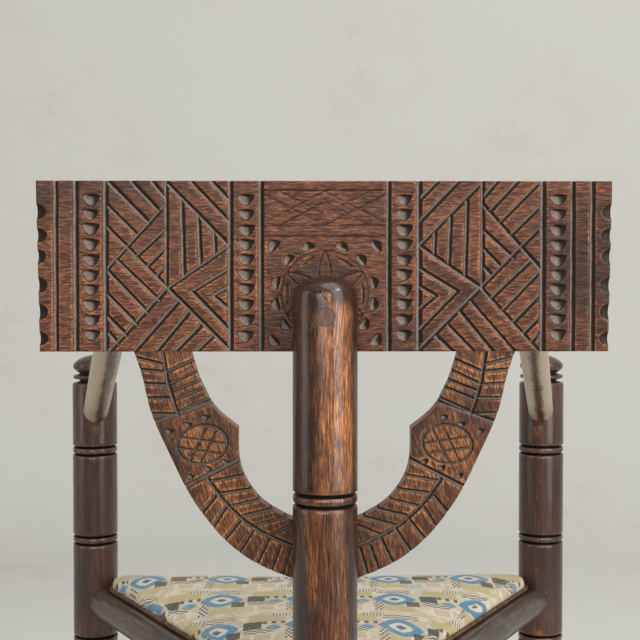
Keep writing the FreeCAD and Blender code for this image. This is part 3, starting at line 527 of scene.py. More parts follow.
def unrubbedDarkAndPaintedLight(tree, colour, laid, shade):  # dark where no hand or clothing rubs, plus painted light and shade: brighter on the rubbed band turned toward the window, dimmer away from it
    look = wearAndLightLook
    touchAndLight = attribute(tree, "touchAndLight")
    edge = noiseOf(tree, laid, *look["edge"])
    rubbed = ease(tree, calc(tree, "ADD", touchAndLight, centred(tree, edge, look["rubEdge"])), *look["rubbed"])
    dim = mixColour(tree, 1.0, colour, (*shade, 1.0), "MULTIPLY")
    colour = mixColour(tree, rubbed, dim, colour)
    # painted light and shade: brighter toward the window side of the post, dimmer away from it
    warm = ease(tree, calc(tree, "ADD", touchAndLight, centred(tree, edge, look["warmEdge"])), *look["warm"])
    return makeNode(tree, "ShaderNodeHueSaturation", {"Value": warm, "Color": colour}).outputs[0]


def paintedFlankSheen(tree, colour, place, pale, streakAt):  # a painted sheen on both flanks of an arm, chosen by the surface normal, brown between
    look = wearAndLightLook
    normal = makeNode(tree, "ShaderNodeNewGeometry").outputs["Normal"]
    sway = centred(tree, noiseOf(tree, place, *look["streakSway"]), look["streakWander"])
    turned = calc(tree, "ABSOLUTE", calc(tree, "ADD", calc(tree, "ADD", partsOf(tree, normal)[0], streakAt), sway))
    speckle = noiseOf(tree, place, *look["speckle"])
    past = calc(tree, "SUBTRACT", turned, look["streakHalf"])
    sheenMask = ease(tree, calc(tree, "MULTIPLY_ADD", speckle, look["speckleShare"], past), *look["flankSheen"])
    colour = makeNode(tree, "ShaderNodeHueSaturation", {"Value": look["streakLevel"], "Color": colour}).outputs[0]
    return mixColour(tree, calc(tree, "MULTIPLY", sheenMask, look["flankSheenShare"]), colour, tone(*pale))


def bareScars(tree, colour, place, wood):  # knocks and rubs that reach the bare wood
    look = wearAndLightLook
    scar = attribute(tree, "scar")
    chips = centred(tree, noiseOf(tree, place, *look["chips"]), look["chipEdge"])
    bare = ease(tree, calc(tree, "ADD", scar, chips), *look["bare"])
    bare = calc(tree, "MULTIPLY", bare, ease(tree, scar, *look["scarEdge"]))
    return mixColour(tree, calc(tree, "MULTIPLY", bare, look["scarShare"]), colour, tone(*wood))


def oak(name, look, along=(0, 0, 1), centre=(0, 0, 0), seed=0.0, marks=False):
    values = oakLooks[look]
    material, tree, shader = newMaterial(name)
    place = objectPlace(tree)
    turn = Vector(along).rotation_difference(Vector((0, 0, 1)))
    laid = makeNode(tree, "ShaderNodeMapping", {
        "Vector": place, "Rotation": turn.to_euler(), "Location": -(turn @ (Vector(centre) * mm))}).outputs[0]
    grain = grainOf(tree, values, laid, seed)
    colour = grain["Colour"]
    if "shade" in values:
        colour = unrubbedDarkAndPaintedLight(tree, colour, laid, values["shade"])
    if "flankSheen" in values:
        streakAt = wearAndLightLook["streakAt"]["left" if centre[0] > 0 else "right"]
        # painted sheen on the arms' flanks
        colour = paintedFlankSheen(tree, colour, place, values["flankSheen"], streakAt)
    if "scar" in values:
        colour = bareScars(tree, colour, place, values["scar"])
    inputs = {"Place": place, "Colour": colour, "Glint": grain["Glint"], "Wear": values["wear"],
              "Cut": 0.0, "PaintedShade": 0.0, "Rim": 0.35}
    if marks:
        inputs.update({"Cut": attribute(tree, "cut"), "PaintedShade": attribute(tree, "lee"), "Rim": attribute(tree, "rim")})
    for part in ("worn", "dirt", "dustsheen"):
        inputs[part.title()] = tone(*values[part])
    aged = useGroup(tree, ageGroup, inputs)
    tree.links.new(aged["Colour"], shader.inputs["Base Color"])
    tree.links.new(aged["Roughness"], shader.inputs["Roughness"])
    tree.links.new(bump(tree, grain["Height"], 0.4, 0.0006), shader.inputs["Normal"])
    shader.inputs["Specular IOR Level"].default_value = values.get("shine", 0.36)
    shader.inputs["Specular Tint"].default_value = (*values.get("tint", (1.0, 1.0, 1.0)), 1.0)
    tree.links.new(calc(tree, "MULTIPLY", aged["Gloss"], values.get("coat", 0.3)), shader.inputs["Coat Weight"])
    shader.inputs["Coat Roughness"].default_value = 0.2
    return material


# Chip carving: depths in mm below a board's face, on arrays of x and z
carving = {
    "lean": -0.15, "leeAcross": 1.0, "leeUp": 0.35, "leeFrom": -0.08, "leeSpan": 0.3, "cutFull": 1.5,
    "borderHalf": 2.85, "lineHalf": 2.45, "lineDeep": 2.3, "hatchHalf": 2.35, "hatchDeep": 2.1,
    "scratchHalf": 0.75, "scratchDeep": 0.55,
    "halfVary": (0.88, 1.12), "deepVary": (0.85, 1.12), "steepToward": (-1, 0.7), "bottomRound": 0.05,
    "moonHalf": 7.4, "moonTall": 10.4, "moonDeep": 3.0, "moonPitch": 12.1, "moonTop": 834.2, "moonCount": 10,
    "moonShift": (0.25, 0.3), "moonTurn": 0.04, "moonHalfVary": (0.95, 1.05), "moonTallVary": (0.93, 1.05),
    "moonDeepVary": (0.9, 1.1), "chipStop": 0.34, "rimSpan": 0.8, "rimEdge": 0.8,
}


def deepen(depth, values, box, x, z, reach):  # keeps the deeper of the two, inside the box only
    near = (x > box[0] - reach) & (x < box[1] + reach) & (z > box[2] - reach) & (z < box[3] + reach)
    if near.any():
        depth[near] = np.maximum(depth[near], values(x[near], z[near]))


def groove(depth, x, z, start, end, half, deep, seed=0):
    start, end = np.array(start, float), np.array(end, float)
    rng = np.random.default_rng(abs(int(start[0] * 31 + start[1] * 17 + end[0] * 7 + end[1])) + seed)
    half, deep = half * rng.uniform(*carving["halfVary"]), deep * rng.uniform(*carving["deepVary"])
    run = end - start
    length = np.hypot(*run)
    steep = np.array((run[1], -run[0])) / length  # the knife leans, so the wall on this side is steeper
    steep = steep * (1 if steep @ np.array(carving["steepToward"]) > 0 else -1)
    lean, bottom = carving["lean"], carving["bottomRound"]

    def values(px, pz):
        share = ((px - start[0]) * run[0] + (pz - start[1]) * run[1]) / length ** 2
        past = np.abs(share - np.clip(share, 0, 1)) * length
        across = ((px - start[0]) * steep[0] + (pz - start[1]) * steep[1]) / half - lean
        wall = np.where(across > 0, across / (1 - lean), -across / (1 + lean))
        return deep * np.clip(1 + bottom - np.hypot(np.hypot(wall, past / half), bottom), 0, 1)

    box = (min(start[0], end[0]), max(start[0], end[0]), min(start[1], end[1]), max(start[1], end[1]))
    deepen(depth, values, box, x, z, half + 0.5)


# A half-round chip: a stop cut on top, scooped out below
def moon(depth, x, z, place, half, tall, deep, turn=0.0, stop=0.2):
    side, up = (math.cos(turn), math.sin(turn)), (-math.sin(turn), math.cos(turn))

    def values(px, pz):
        u = ((px - place[0]) * side[0] + (pz - place[1]) * side[1]) / half
        w = -((px - place[0]) * up[0] + (pz - place[1]) * up[1]) / tall
        w = w + 0.06 * (1 - u * u)  # the stop cut bows a little
        inside = np.clip(1 - np.abs(u) ** 1.8 - np.abs(w) ** 1.6, 0, 1) ** 0.8
        return deep * inside * np.clip(w / stop, 0, 1)

    reach = max(half, tall)
    deepen(depth, values, (place[0], place[0], place[1], place[1]), x, z, reach + 1)


crestLines = {  # on the sitter's left half of the back face; the right half mirrors them
    "border": [51.3, 76.0, 176.0, 200.0, 216.0],
    "main": [((127.3, 852), (127.3, 764.6)), ((174.3, 780.0), (127.6, 831.3)), ((174.2, 813.0), (126.1, 764.6)),
             ((126.1, 764.6), (74.8, 713.0)), ((126.1, 764.6), (76.4, 798.3)), ((126.1, 764.6), (173.4, 713.0)),
             ((127.0, 849.2), (76.4, 798.3))],
    "hatch": [((174.0, 850), (140.7, 816.5)), ((155.3, 850), (132.8, 826.0)), ((138.8, 850), (128.1, 837.3)),
              ((174.1, 830.3), (150.2, 806.9)), ((152.1, 788.7), (127.6, 811.3)), ((142.5, 781.4), (127.7, 796.5)),
              ((135.2, 773.9), (127.7, 781.7)), ((166.8, 786.9), (133.1, 754.7)), ((174.4, 778.2), (142.7, 745.1)),
              ((174.4, 759.1), (151.4, 735.5)), ((174.0, 740.8), (160.1, 726.8)), ((173.2, 727.7), (166.3, 719.8)),
              ((114.9, 833.9), (113.3, 773.0)), ((101.5, 821.7), (99.9, 782.6)), ((88.9, 809.6), (88.2, 790.4)),
              ((107.5, 850), (76.3, 817.4)), ((91.0, 850), (76.8, 835.6)), ((75.5, 780.8), (106.9, 761.7)),
              ((106.9, 761.7), (75.6, 729.4)), ((76.1, 766.0), (89.5, 758.2)), ((89.5, 758.2), (76.1, 746.8)),
              ((118.3, 753.0), (153.2, 713.0)), ((109.2, 745.1), (135.8, 713.0)), ((100.0, 733.8), (121.0, 712.6)),
              ((90.5, 725.0), (103.6, 712.6))],
    "moonColumns": [188.0, 63.6],
    "panelLevels": [842.9, 814.5, 806.0],
    "panelScratches": [((0, 814.9), (48, 839)), ((1, 824.5), (35.5, 841.7)), ((0.6, 841.7), (47, 818)),
                       ((1, 833.3), (36, 814.7))],
    "rosette": {
        "place": (0.0, 759.5), "radius": 35.0, "chipAngles": [20, 47, 77, 102, 128, 155], "chipRadius": 37.4,
        "chip": (6.2, 8.0, 2.9), "ringHalf": 0.9, "ringDeep": 0.5, "petalHalf": 0.95, "petalDeep": 0.9,
        "lensIn": 3.1, "lensSlope": 1.1, "lensDeep": 1.6},
    "cornerChip": (6.8, 8.6, 3.0),  # half width, height and depth, as for the rosette's chips
    "cornerChips": [(39, 796, 2.32), (39, 724, 0.83)],
    "nickLevels": [826, 806, 790, 766, 745, 725],
}


def cutLines(depth, x, z, side, lines, half, deep, seed=0):  # a groove for each pair of ends, on one side
    for start, end in lines:
        groove(depth, x, z, (side * start[0], start[1]), (side * end[0], end[1]), half, deep, seed)


def crestDepth(x, z, seed=0):
    depth = np.zeros_like(x)
    lineDeep, stop = carving["lineDeep"], carving["chipStop"]
    scratchHalf, scratchDeep = carving["scratchHalf"], carving["scratchDeep"]
    rosette = crestLines["rosette"]
    borders = [((at, 860), (at, 700)) for at in crestLines["border"]]
    for side in (1, -1):
        for lines, half, deep in ((borders, carving["borderHalf"], lineDeep),
                                  (crestLines["main"], carving["lineHalf"] * 0.95, lineDeep),
                                  (crestLines["hatch"], carving["hatchHalf"], carving["hatchDeep"]),
                                  (crestLines["panelScratches"], scratchHalf, scratchDeep)):
            cutLines(depth, x, z, side, lines, half, deep, seed)
        rng = np.random.default_rng(seed + 7 + side)
        for at in crestLines["moonColumns"]:
            for number in range(carving["moonCount"]):
                high = carving["moonTop"] - number * carving["moonPitch"] + carving["moonTall"] / 2
                place = [part + rng.normal(0, by) for part, by in zip((side * at, high), carving["moonShift"])]
                sizes = [carving[part] * rng.uniform(*carving[part + "Vary"])
                         for part in ("moonHalf", "moonTall", "moonDeep")]
                moon(depth, x, z, place, *sizes, rng.normal(0, carving["moonTurn"]))
        for angle in rosette["chipAngles"]:
            turn = math.radians(angle)
            out = rosette["chipRadius"]
            place = (side * out * math.sin(turn), rosette["place"][1] + out * math.cos(turn))
            moon(depth, x, z, place, *rosette["chip"], math.pi - side * turn, stop)
        for at, high, turn in crestLines["cornerChips"]:
            moon(depth, x, z, (side * at, high), *crestLines["cornerChip"], side * turn, stop)
    for level in crestLines["panelLevels"]:
        groove(depth, x, z, (-50, level), (50, level), scratchHalf * 1.2, scratchDeep * 1.2, seed)
    return np.maximum(depth, rosetteDepth(x, z))


def rosetteDepth(x, z):  # six petals drawn with compasses in a ring, and a lens cut out of each
    rosette = crestLines["rosette"]
    radius, ringHalf = rosette["radius"], rosette["ringHalf"]
    across, up = x - rosette["place"][0], z - rosette["place"][1]
    away = np.hypot(across, up)
    inside = away < radius + 0.5
    lines = rosette["ringDeep"] * (1 - np.abs(away - radius) / ringHalf)
    lines = np.where(np.abs(away - radius) < ringHalf, lines, 0)
    chipOut = 2 * radius * math.cos(math.radians(30))
    for number in range(6):
        angle = math.radians(90 + 60 * number)
        petal = np.hypot(across - radius * math.cos(angle), up - radius * math.sin(angle))
        line = rosette["petalDeep"] * np.clip(1 - np.abs(petal - radius) / rosette["petalHalf"], 0, 1)
        lines = np.maximum(lines, np.where(inside, line, 0))
        middle = math.radians(120 + 60 * number)
        chip = np.hypot(across - chipOut * math.cos(middle), up - chipOut * math.sin(middle))
        lens = np.minimum(radius - away, radius - chip) - rosette["lensIn"]
        lines = np.maximum(lines, np.clip(lens * rosette["lensSlope"], 0, rosette["lensDeep"]))
    return lines


plank = {
    "step": 0.66, "frontStep": 1.1, "round": 1.5, "taper": 2.5, "faceLimit": 190000,
    "nickTall": 6.2, "nickIn": 8.0, "nickDeep": 2.2, "nickCut": 0.33, "nickPull": 0.45,
    "nickShift": 1, "nickInVary": (0.85, 1.1), "nickTallVary": (0.9, 1.1),
    "rimReach": 1.4, "rimDeep": 0.4, "wave": 0.12, "waveReach": (26, 7), "waveLimit": (-0.25, 0.4),
}


def steps(length, step, edge):  # from 0 to length, crowded within the rounded edges
    near = edge * (1 - np.cos(np.linspace(0, math.pi / 2, 6)))
    count = max(2, int((length - 2 * edge) / step))
    return np.concatenate([near[:-1], np.linspace(edge, length - edge, count + 1), length - near[:-1][::-1]])


def roundedDrop(fromLeft, fromRight, fromLow, fromHigh, edge):  # how far a worn arris falls away from the face
    across = np.clip(edge - np.minimum(fromLeft, fromRight), 0, None)
    up = np.clip(edge - np.minimum(fromLow, fromHigh), 0, None)
    reach = np.clip(np.hypot(across, up), 0, edge)
    return edge - np.sqrt(np.clip(edge * edge - reach * reach, 0, None))


def paintedShadeOf(depth, x, z):  # 1 on cut walls that face away from the window side: painted shade, where the pale dust is kept off so the dark dirt shows
    acrossRun = np.hypot(np.gradient(x, axis=1), np.gradient(z, axis=1)) + 1e-6
    upRun = np.hypot(np.gradient(x, axis=0), np.gradient(z, axis=0)) + 1e-6
    alongX, alongZ = np.gradient(x, axis=1) / acrossRun, np.gradient(z, axis=1) / acrossRun
    overX, overZ = np.gradient(x, axis=0) / upRun, np.gradient(z, axis=0) / upRun
    first, second = np.gradient(depth, axis=1) / acrossRun, np.gradient(depth, axis=0) / upRun
    turn = alongX * overZ - alongZ * overX
    slopeX = (first * overZ - second * alongZ) / turn
    slopeZ = (second * alongX - first * overX) / turn
    facing = slopeX * carving["leeAcross"] - slopeZ * carving["leeUp"]
    return np.clip((facing - carving["leeFrom"]) / carving["leeSpan"], 0, 1)


def rimOf(depth, drop, reach, deep):  # 1 on edges that stand proud of the cuts beside them
    rim = np.clip((blurred(depth, reach) - depth) / deep, 0, 1)
    return np.maximum(rim, np.clip(drop / carving["rimSpan"], 0, 1) * carving["rimEdge"])


def crestSide(step, seed):
    tall = crestHigh.z - crestLow.z
    lowHalf, highHalf = crestHigh.x - plank["taper"], crestHigh.x
    along = steps(2 * highHalf, step, plank["round"]) / highHalf - 1
    upward = crestLow.z + steps(tall, step, plank["round"])
    share = (upward - crestLow.z) / tall
    half = lowHalf + (highHalf - lowHalf) * share
    x = along[None, :] * half[:, None]
    z = np.repeat(upward[:, None], len(along), 1)
    drop = roundedDrop(x + half[:, None], half[:, None] - x, z - crestLow.z, crestHigh.z - z, plank["round"])
    depth = crestDepth(x, z, seed)
    cut = np.clip(depth / carving["cutFull"], 0, 1)
    for level in crestLines["nickLevels"]:
        rng = np.random.default_rng(level + seed)
        level = level + rng.normal(0, plank["nickShift"])
        into = (half[:, None] - np.abs(x)) / (plank["nickIn"] * rng.uniform(*plank["nickInVary"]))
        away = (z - level) / (plank["nickTall"] * rng.uniform(*plank["nickTallVary"]))
        bite = np.clip(1 - into ** 2 - away ** 2, 0, 1) ** 0.7
        depth = np.maximum(depth, plank["nickDeep"] * bite)
        cut = np.where(bite > 0.02, plank["nickCut"], cut)
        x = x - np.sign(x) * plank["nickPull"] * np.clip(1 - away ** 2, 0, 1) * np.clip(1 - into * 2, 0, 1)
    rim = rimOf(depth, drop, max(1, int(plank["rimReach"] / step)), plank["rimDeep"])
    broad, narrow = [smoothNoise(x.shape, reach / step, seed + 1 + number)
                     for number, reach in enumerate(plank["waveReach"])]
    worn = np.clip(plank["wave"] * (broad + 0.5 * narrow), *plank["waveLimit"]) * (drop <= 0)
    return x, z, depth + drop + worn, cut, paintedShadeOf(depth, x, z), rim


def borderOf(rows, columns, start):  # the four edges of a grid of points, as indices
    index = start + np.arange(rows * columns).reshape(rows, columns)
    return [index[0, :], index[:, -1], index[-1, ::-1], index[::-1, 0]]


def knit(backLine, frontLine):  # triangles between two lines that have different counts of points
    walls = []
    backAt, frontAt = 0, 0
    backPlace = np.linspace(0, 1, len(backLine))
    frontPlace = np.linspace(0, 1, len(frontLine))
    while backAt < len(backLine) - 1 or frontAt < len(frontLine) - 1:
        stepBack = frontAt == len(frontLine) - 1 or (
            backAt < len(backLine) - 1 and backPlace[backAt + 1] <= frontPlace[frontAt + 1])
        if stepBack:
            walls.append((backLine[backAt + 1], backLine[backAt], frontLine[frontAt]))
            backAt += 1
        else:
            walls.append((backLine[backAt], frontLine[frontAt], frontLine[frontAt + 1]))
            frontAt += 1
    return walls


def makeCrest():
    xBack, zBack, dropBack, *marksBack = crestSide(plank["step"], 1)
    xFront, zFront, dropFront, *marksFront = crestSide(plank["frontStep"], 2)
    back = np.stack([xBack, crestHigh.y - dropBack, zBack], -1)
    front = np.stack([xFront, crestLow.y + dropFront, zFront], -1)
    points = np.concatenate([back.reshape(-1, 3), front.reshape(-1, 3)])
    sides = [gridFaces(*xBack.shape, 0, flip=False), gridFaces(*xFront.shape, xBack.size, flip=True)]
    faces = [tuple(face) for part in sides for face in part.tolist()]
    for backLine, frontLine in zip(borderOf(*xBack.shape, 0), borderOf(*xFront.shape, xBack.size)):
        faces += [tuple(int(index) for index in face) for face in knit(backLine, frontLine)]
    piece = meshObject("carvedCrest", points * mm, faces)
    for name, backMark, frontMark in zip(("cut", "lee", "rim"), marksBack, marksFront):
        setMark(piece, name, np.concatenate([backMark.ravel(), frontMark.ravel()]))
    triangles = sum(len(face) - 2 for face in faces)
    thinner = piece.modifiers.new("thinner", "DECIMATE")
    thinner.ratio = min(1.0, plank["faceLimit"] / triangles)
    shaped = applyModifiers(piece)
    shaped.shade_smooth()
    print("crest", triangles, "thinned to", len(shaped.polygons))
    shaped.materials.clear()
    shaped.materials.append(oak("oakPlankWood", "oakPlank", (1, 0, 0), (0, 30, 760), 3.0, True))
    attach(piece, "root")
    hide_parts("crest_plank")


makeCrest()
print("crest made")


def spline(through, count):  # a smooth line through the given points, evenly spaced
    given = np.array(through, float)
    padded = np.concatenate([[2 * given[0] - given[1]], given, [2 * given[-1] - given[-2]]])
    line = []
    share = np.linspace(0, 1, 40, endpoint=False)[:, None]
    for number in range(1, len(padded) - 2):
        before, start, end, after = padded[number - 1:number + 3]
        line.append(0.5 * (2 * start + (end - before) * share
                           + (2 * before - 5 * start + 4 * end - after) * share ** 2
                           + (3 * start - before - 3 * end + after) * share ** 3))
    line = np.concatenate(line + [given[-1:]])
    return spread(line, count)


def spread(line, count):  # the same line with that many even points
    run = np.concatenate([[0], np.cumsum(np.hypot(*np.diff(line, axis=0).T))])
    even = np.linspace(0, run[-1], count)
    return np.stack([np.interp(even, run, line[:, 0]), np.interp(even, run, line[:, 1])], 1)


def mirrored(line):
    return [(-x, z) for x, z in reversed(line)]


# Yoke: its outline on the back face, from the crest down to the middle, on the sitter's left
yoke = {
    "outerHigh": [(154.2, 713.3), (147.8, 694.2), (141.6, 668.0), (135.0, 650.4), (123.6, 625.8)],
    "outerLow": [(123.6, 625.8), (112.9, 603.6), (99.6, 582.4), (82.1, 561.4), (63.9, 546.3), (45.7, 536.3),
                 (29.8, 530.0), (14.5, 525.6), (0, 524.2)],
    "innerHigh": [(108.9, 713.3), (103.2, 694.2), (97.6, 681.7), (92.0, 671.0), (84.1, 662.0), (70.1, 650.9)],
    "innerLow": [(70.1, 650.9), (70.3, 637.3), (69.5, 624.5), (66.1, 612.3), (58.2, 599.0), (48.0, 588.6),
                 (29.8, 578.0), (14.5, 573.2), (0, 571.6)],
    "high": 118, "low": 220, "across": 66, "round": 1.3,
    "spine": [[(130.4, 713.2), (127.0, 689.7), (122.0, 672.7), (118.0, 661.5)],
              [(94.2, 609.3), (84.0, 594.7), (75.0, 584.5), (63.7, 574.3), (51.2, 566.4), (36.5, 559.6),
               (22.0, 553.5)]],
    "ribs": [((154.3, 708.7), (130.4, 702.8)), ((153.0, 699.0), (128.1, 696.5)), ((149.5, 687.4), (125.9, 686.3)),
             ((146.0, 675.4), (122.9, 675.4)), ((141.5, 663.0), (118.0, 662.5)), ((127.7, 696.5), (106.8, 706.0)),
             ((126.3, 686.3), (103.5, 697.5)), ((124.3, 680.6), (100.3, 690.0)), ((122.0, 673.9), (97.0, 684.2)),
             ((119.1, 663.7), (92.2, 676.0)),
             ((88.6, 595.8), (100.5, 581.2)), ((80.2, 586.8), (91.2, 569.6)), ((68.2, 576.6), (81.7, 560.0)),
             ((56.9, 569.8), (69.7, 550.6)), ((45.6, 560.8), (55.6, 540.2)), ((36.5, 555.1), (44.2, 534.5)),
             ((28.6, 552.4), (34.9, 531.0)), ((90.8, 608.3), (64.9, 613.0)), ((85.2, 598.1), (57.2, 601.9)),
             ((75.0, 587.9), (50.4, 594.0)), ((65.9, 580.0), (39.1, 586.1)), ((56.9, 572.1), (30.0, 579.3)),
             ((45.6, 564.1), (22.5, 573.5))],
    "bars": [((139.6, 655.4), (90.6, 672.8)), ((115.2, 602.2), (67.6, 626.6))],
    "punches": [(125.9, 649.6), (110.7, 655.1), (96.5, 661.0), (108.5, 613.2), (94.2, 619.6), (80.2, 624.8)],
    "medallion": {
        "place": (99.2, 638.0), "long": 20.2, "short": 15.6, "tilt": -9, "ringHalf": 1.35, "ringDeep": 1.5,
        "latticeHalf": 1.2, "latticeDeep": 1.15, "worn": 1.2, "wornWithin": 0.95,
        "lattice": [((-2.8, 12.6), (10.1, -14.9)), ((-12.2, 12.6), (1.3, -15.4)),
                    ((18.3, 6.2), (-19.7, 0.5)), ((19.8, -2.6), (-13.6, -7.2))]},
    "punch": (4.0, 5.2, 2.0), "punchLift": 0.6, "punchTurn": (0.05, 0.3),  # at the upper bar, at the lower one
    "lineHalf": 1.7, "lineDeep": 1.9, "spineShare": 1.15, "barHalf": 2.3, "barDeep": 1.9,
    "usualWidth": 48, "rimReach": 3, "rimDeep": 0.45, "wave": 0.1, "waveReach": 24, "waveLimit": (-0.2, 0.3),
}


def yokeDepth(x, z):
    depth = np.zeros_like(x)
    lineHalf, lineDeep, spineShare = yoke["lineHalf"], yoke["lineDeep"], yoke["spineShare"]
    oval = yoke["medallion"]
    middle = (oval["long"] + oval["short"]) / 2
    for side in (1, -1):
        for line in yoke["spine"]:
            cutLines(depth, x, z, side, zip(line[:-1], line[1:]), lineHalf * spineShare, lineDeep * spineShare)
        cutLines(depth, x, z, side, yoke["ribs"], lineHalf, lineDeep, side)
        cutLines(depth, x, z, side, yoke["bars"], yoke["barHalf"], yoke["barDeep"], side)
        for number, place in enumerate(yoke["punches"]):
            turn = side * yoke["punchTurn"][1 if number > 2 else 0]
            moon(depth, x, z, (side * place[0], place[1] + yoke["punchLift"]), *yoke["punch"], turn)
        tilt = side * math.radians(oval["tilt"])
        right, up = x - side * oval["place"][0], z - oval["place"][1]
        u = (right * math.cos(tilt) + up * math.sin(tilt)) / oval["long"]
        w = (-right * math.sin(tilt) + up * math.cos(tilt)) / oval["short"]
        away = np.hypot(u, w)
        ring = oval["ringDeep"] * np.clip(1 - np.abs(away - 1) * middle / oval["ringHalf"], 0, 1)
        depth = np.maximum(depth, ring)
        lattice = np.zeros_like(x)
        for ends in oval["lattice"]:
            start, end = [(side * (oval["place"][0] + dx), oval["place"][1] + dz) for dx, dz in ends]
            groove(lattice, x, z, start, end, oval["latticeHalf"], oval["latticeDeep"], side)
        depth = np.maximum(depth, np.where(away < 1, lattice, 0))
    return depth


def yokeEdge(high, low):  # from the crest down, round the bottom and up to the crest again
    return np.concatenate([spline(high, yoke["high"])[:-1],
                           spline(low + mirrored(low)[1:], 2 * yoke["low"] - 1),
                           spline(mirrored(high), yoke["high"])[1:]])


def makeYoke():
    outer = yokeEdge(yoke["outerHigh"], yoke["outerLow"])
    inner = yokeEdge(yoke["innerHigh"], yoke["innerLow"])
    width = np.hypot(*(outer - inner).T)[:, None]
    share = steps(1.0, 1.0 / yoke["across"], yoke["round"] / yoke["usualWidth"])[None, :]
    x = outer[:, :1] + (inner[:, :1] - outer[:, :1]) * share
    z = outer[:, 1:] + (inner[:, 1:] - outer[:, 1:]) * share
    far = np.full_like(x, 99.0)  # the ends meet the crest and aren't rounded
    drop = roundedDrop(share * width, (1 - share) * width, far, far, yoke["round"])
    depth = yokeDepth(x, z)
    oval = yoke["medallion"]
    out = np.hypot((np.abs(x) - oval["place"][0]) / oval["long"], (z - oval["place"][1]) / oval["short"])
    rim = rimOf(depth, drop, yoke["rimReach"], yoke["rimDeep"])
    rim = np.maximum(rim, oval["worn"] * (out < oval["wornWithin"]))
    marks = {"cut": np.clip(depth / carving["cutFull"], 0, 1), "lee": paintedShadeOf(depth, x, z), "rim": rim}
    worn = yoke["wave"] * smoothNoise(x.shape, yoke["waveReach"], 5) * (drop <= 0)
    sunk = depth + drop + np.clip(worn, *yoke["waveLimit"])
    back = np.stack([x, yokeHigh.y - sunk, z], -1)
    front = np.stack([x, yokeLow.y + sunk, z], -1)[:, ::-1]
    rings = np.concatenate([back, front], 1)
    rows, columns = rings.shape[:2]
    faces = [tuple(face) for face in gridFaces(rows, columns, closed=True).tolist()]
    faces += [tuple(range(columns)), tuple((rows - 1) * columns + np.arange(columns)[::-1])]
    material = oak("oakYokeWood", "oakYoke", (0.25, 0, 1), (0, -40, 600), 11.0, True)
    piece = meshObject("carvedYoke", rings.reshape(-1, 3) * mm, faces, material)
    for name, mark in marks.items():
        setMark(piece, name, np.concatenate([mark, mark[:, ::-1]], 1).ravel())
    outward(piece)
    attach(piece, "root")
    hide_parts("back_yoke")
    print("yoke", len(piece.data.polygons), "faces")
    return outer, inner


yokeOuter, yokeInner = makeYoke()
print("yoke made")


# Posts: turned, then notched for the crest and the yoke
turning = {
    "around": 128, "rise": 3.0,
    "rings": {"rear_post": [232, 350, 597], "front_post_left": [232, 350, 469, 574],
              "front_post_right": [232, 350, 469, 574]},
    "ringHalf": [(6.45, 0.0), (6.1, 0.35), (5.0, 1.9), (4.3, 3.3), (3.9, 4.0), (3.55, 3.9), (3.35, 3.0),
                 (3.2, 1.6), (2.8, 0.7), (2.0, 0.2), (0.0, 0.0)],
    "dome": 17.5, "domePowers": (0.9, 0.76), "footBevel": 2.5, "notchRoom": 0.25,
    "button": [(0.0, 0.0), (0.7, 6.0), (2.0, 11.2), (4.2, 16.8), (7.0, 21.2), (10.0, 24.2), (12.8, 25.3),
               (15.2, 24.9), (17.4, 23.3), (19.4, 20.8), (21.0, 18.2), (22.2, 17.2)],
    "thinRing": [(22.2, 17.2), (23.0, 20.5), (23.8, 23.8), (24.8, 25.2), (26.4, 25.3), (27.6, 24.6), (28.4, 22.0),
                 (29.0, 18.4), (30.2, 17.2), (31.6, 18.4), (32.4, 23.5), (33.2, 25.4), (34.6, 26.0)],
    "rough": 0.10, "roughReach": 14, "seam": 13, "smoothUnder": 6,
}
handling = {  # heights and sizes in mm, turns in degrees round the post
    "cutFull": 2.6, "rimReach": 2.6, "rimDeep": 0.9, "rearTop": 700,
    "shaftUnder": 40, "buttonUnder": 36, "buttonOver": 21, "buttonEdge": 2, "buttonFull": 8,
    "scuff": {"x": 1.0, "z": 757.0, "halfX": 5.0, "halfZ": 6.0, "strength": 0.3},
    # the rubbed band is turned toward the window and also carries a painted light
    "touchAndLight": {"turn": 116, "wide": (0.86, 0.8), "fadeFrom": 10, "fade": 20},
    "lowerTouch": {"turn": 96, "wide": 1.15, "under": 597, "strength": 0.5},
    "scars": {  # turn, height, half width, half height, strength
        "rear_post": [(91, 757, 6, 8, 0.75), (100, 508, 2, 10, 0.3)],
        "front_post_left": [(100, 601, 9, 6, 0.6), (88, 588, 5, 4, 0.4), (107, 588, 5, 4, 0.4), (100, 372, 9, 5, 0.3)],
        "front_post_right": [(68, 597, 6, 9, 1.0), (72, 614, 8, 4, 0.5), (80, 538, 5, 5, 0.6), (68, 520, 4, 9, 0.4),
                             (88, 518, 4, 8, 0.4), (64, 433, 5, 9, 0.6), (76, 358, 9, 7, 1.0), (66, 362, 4, 5, 0.7),
                             (100, 405, 6, 14, 0.4)]},
}


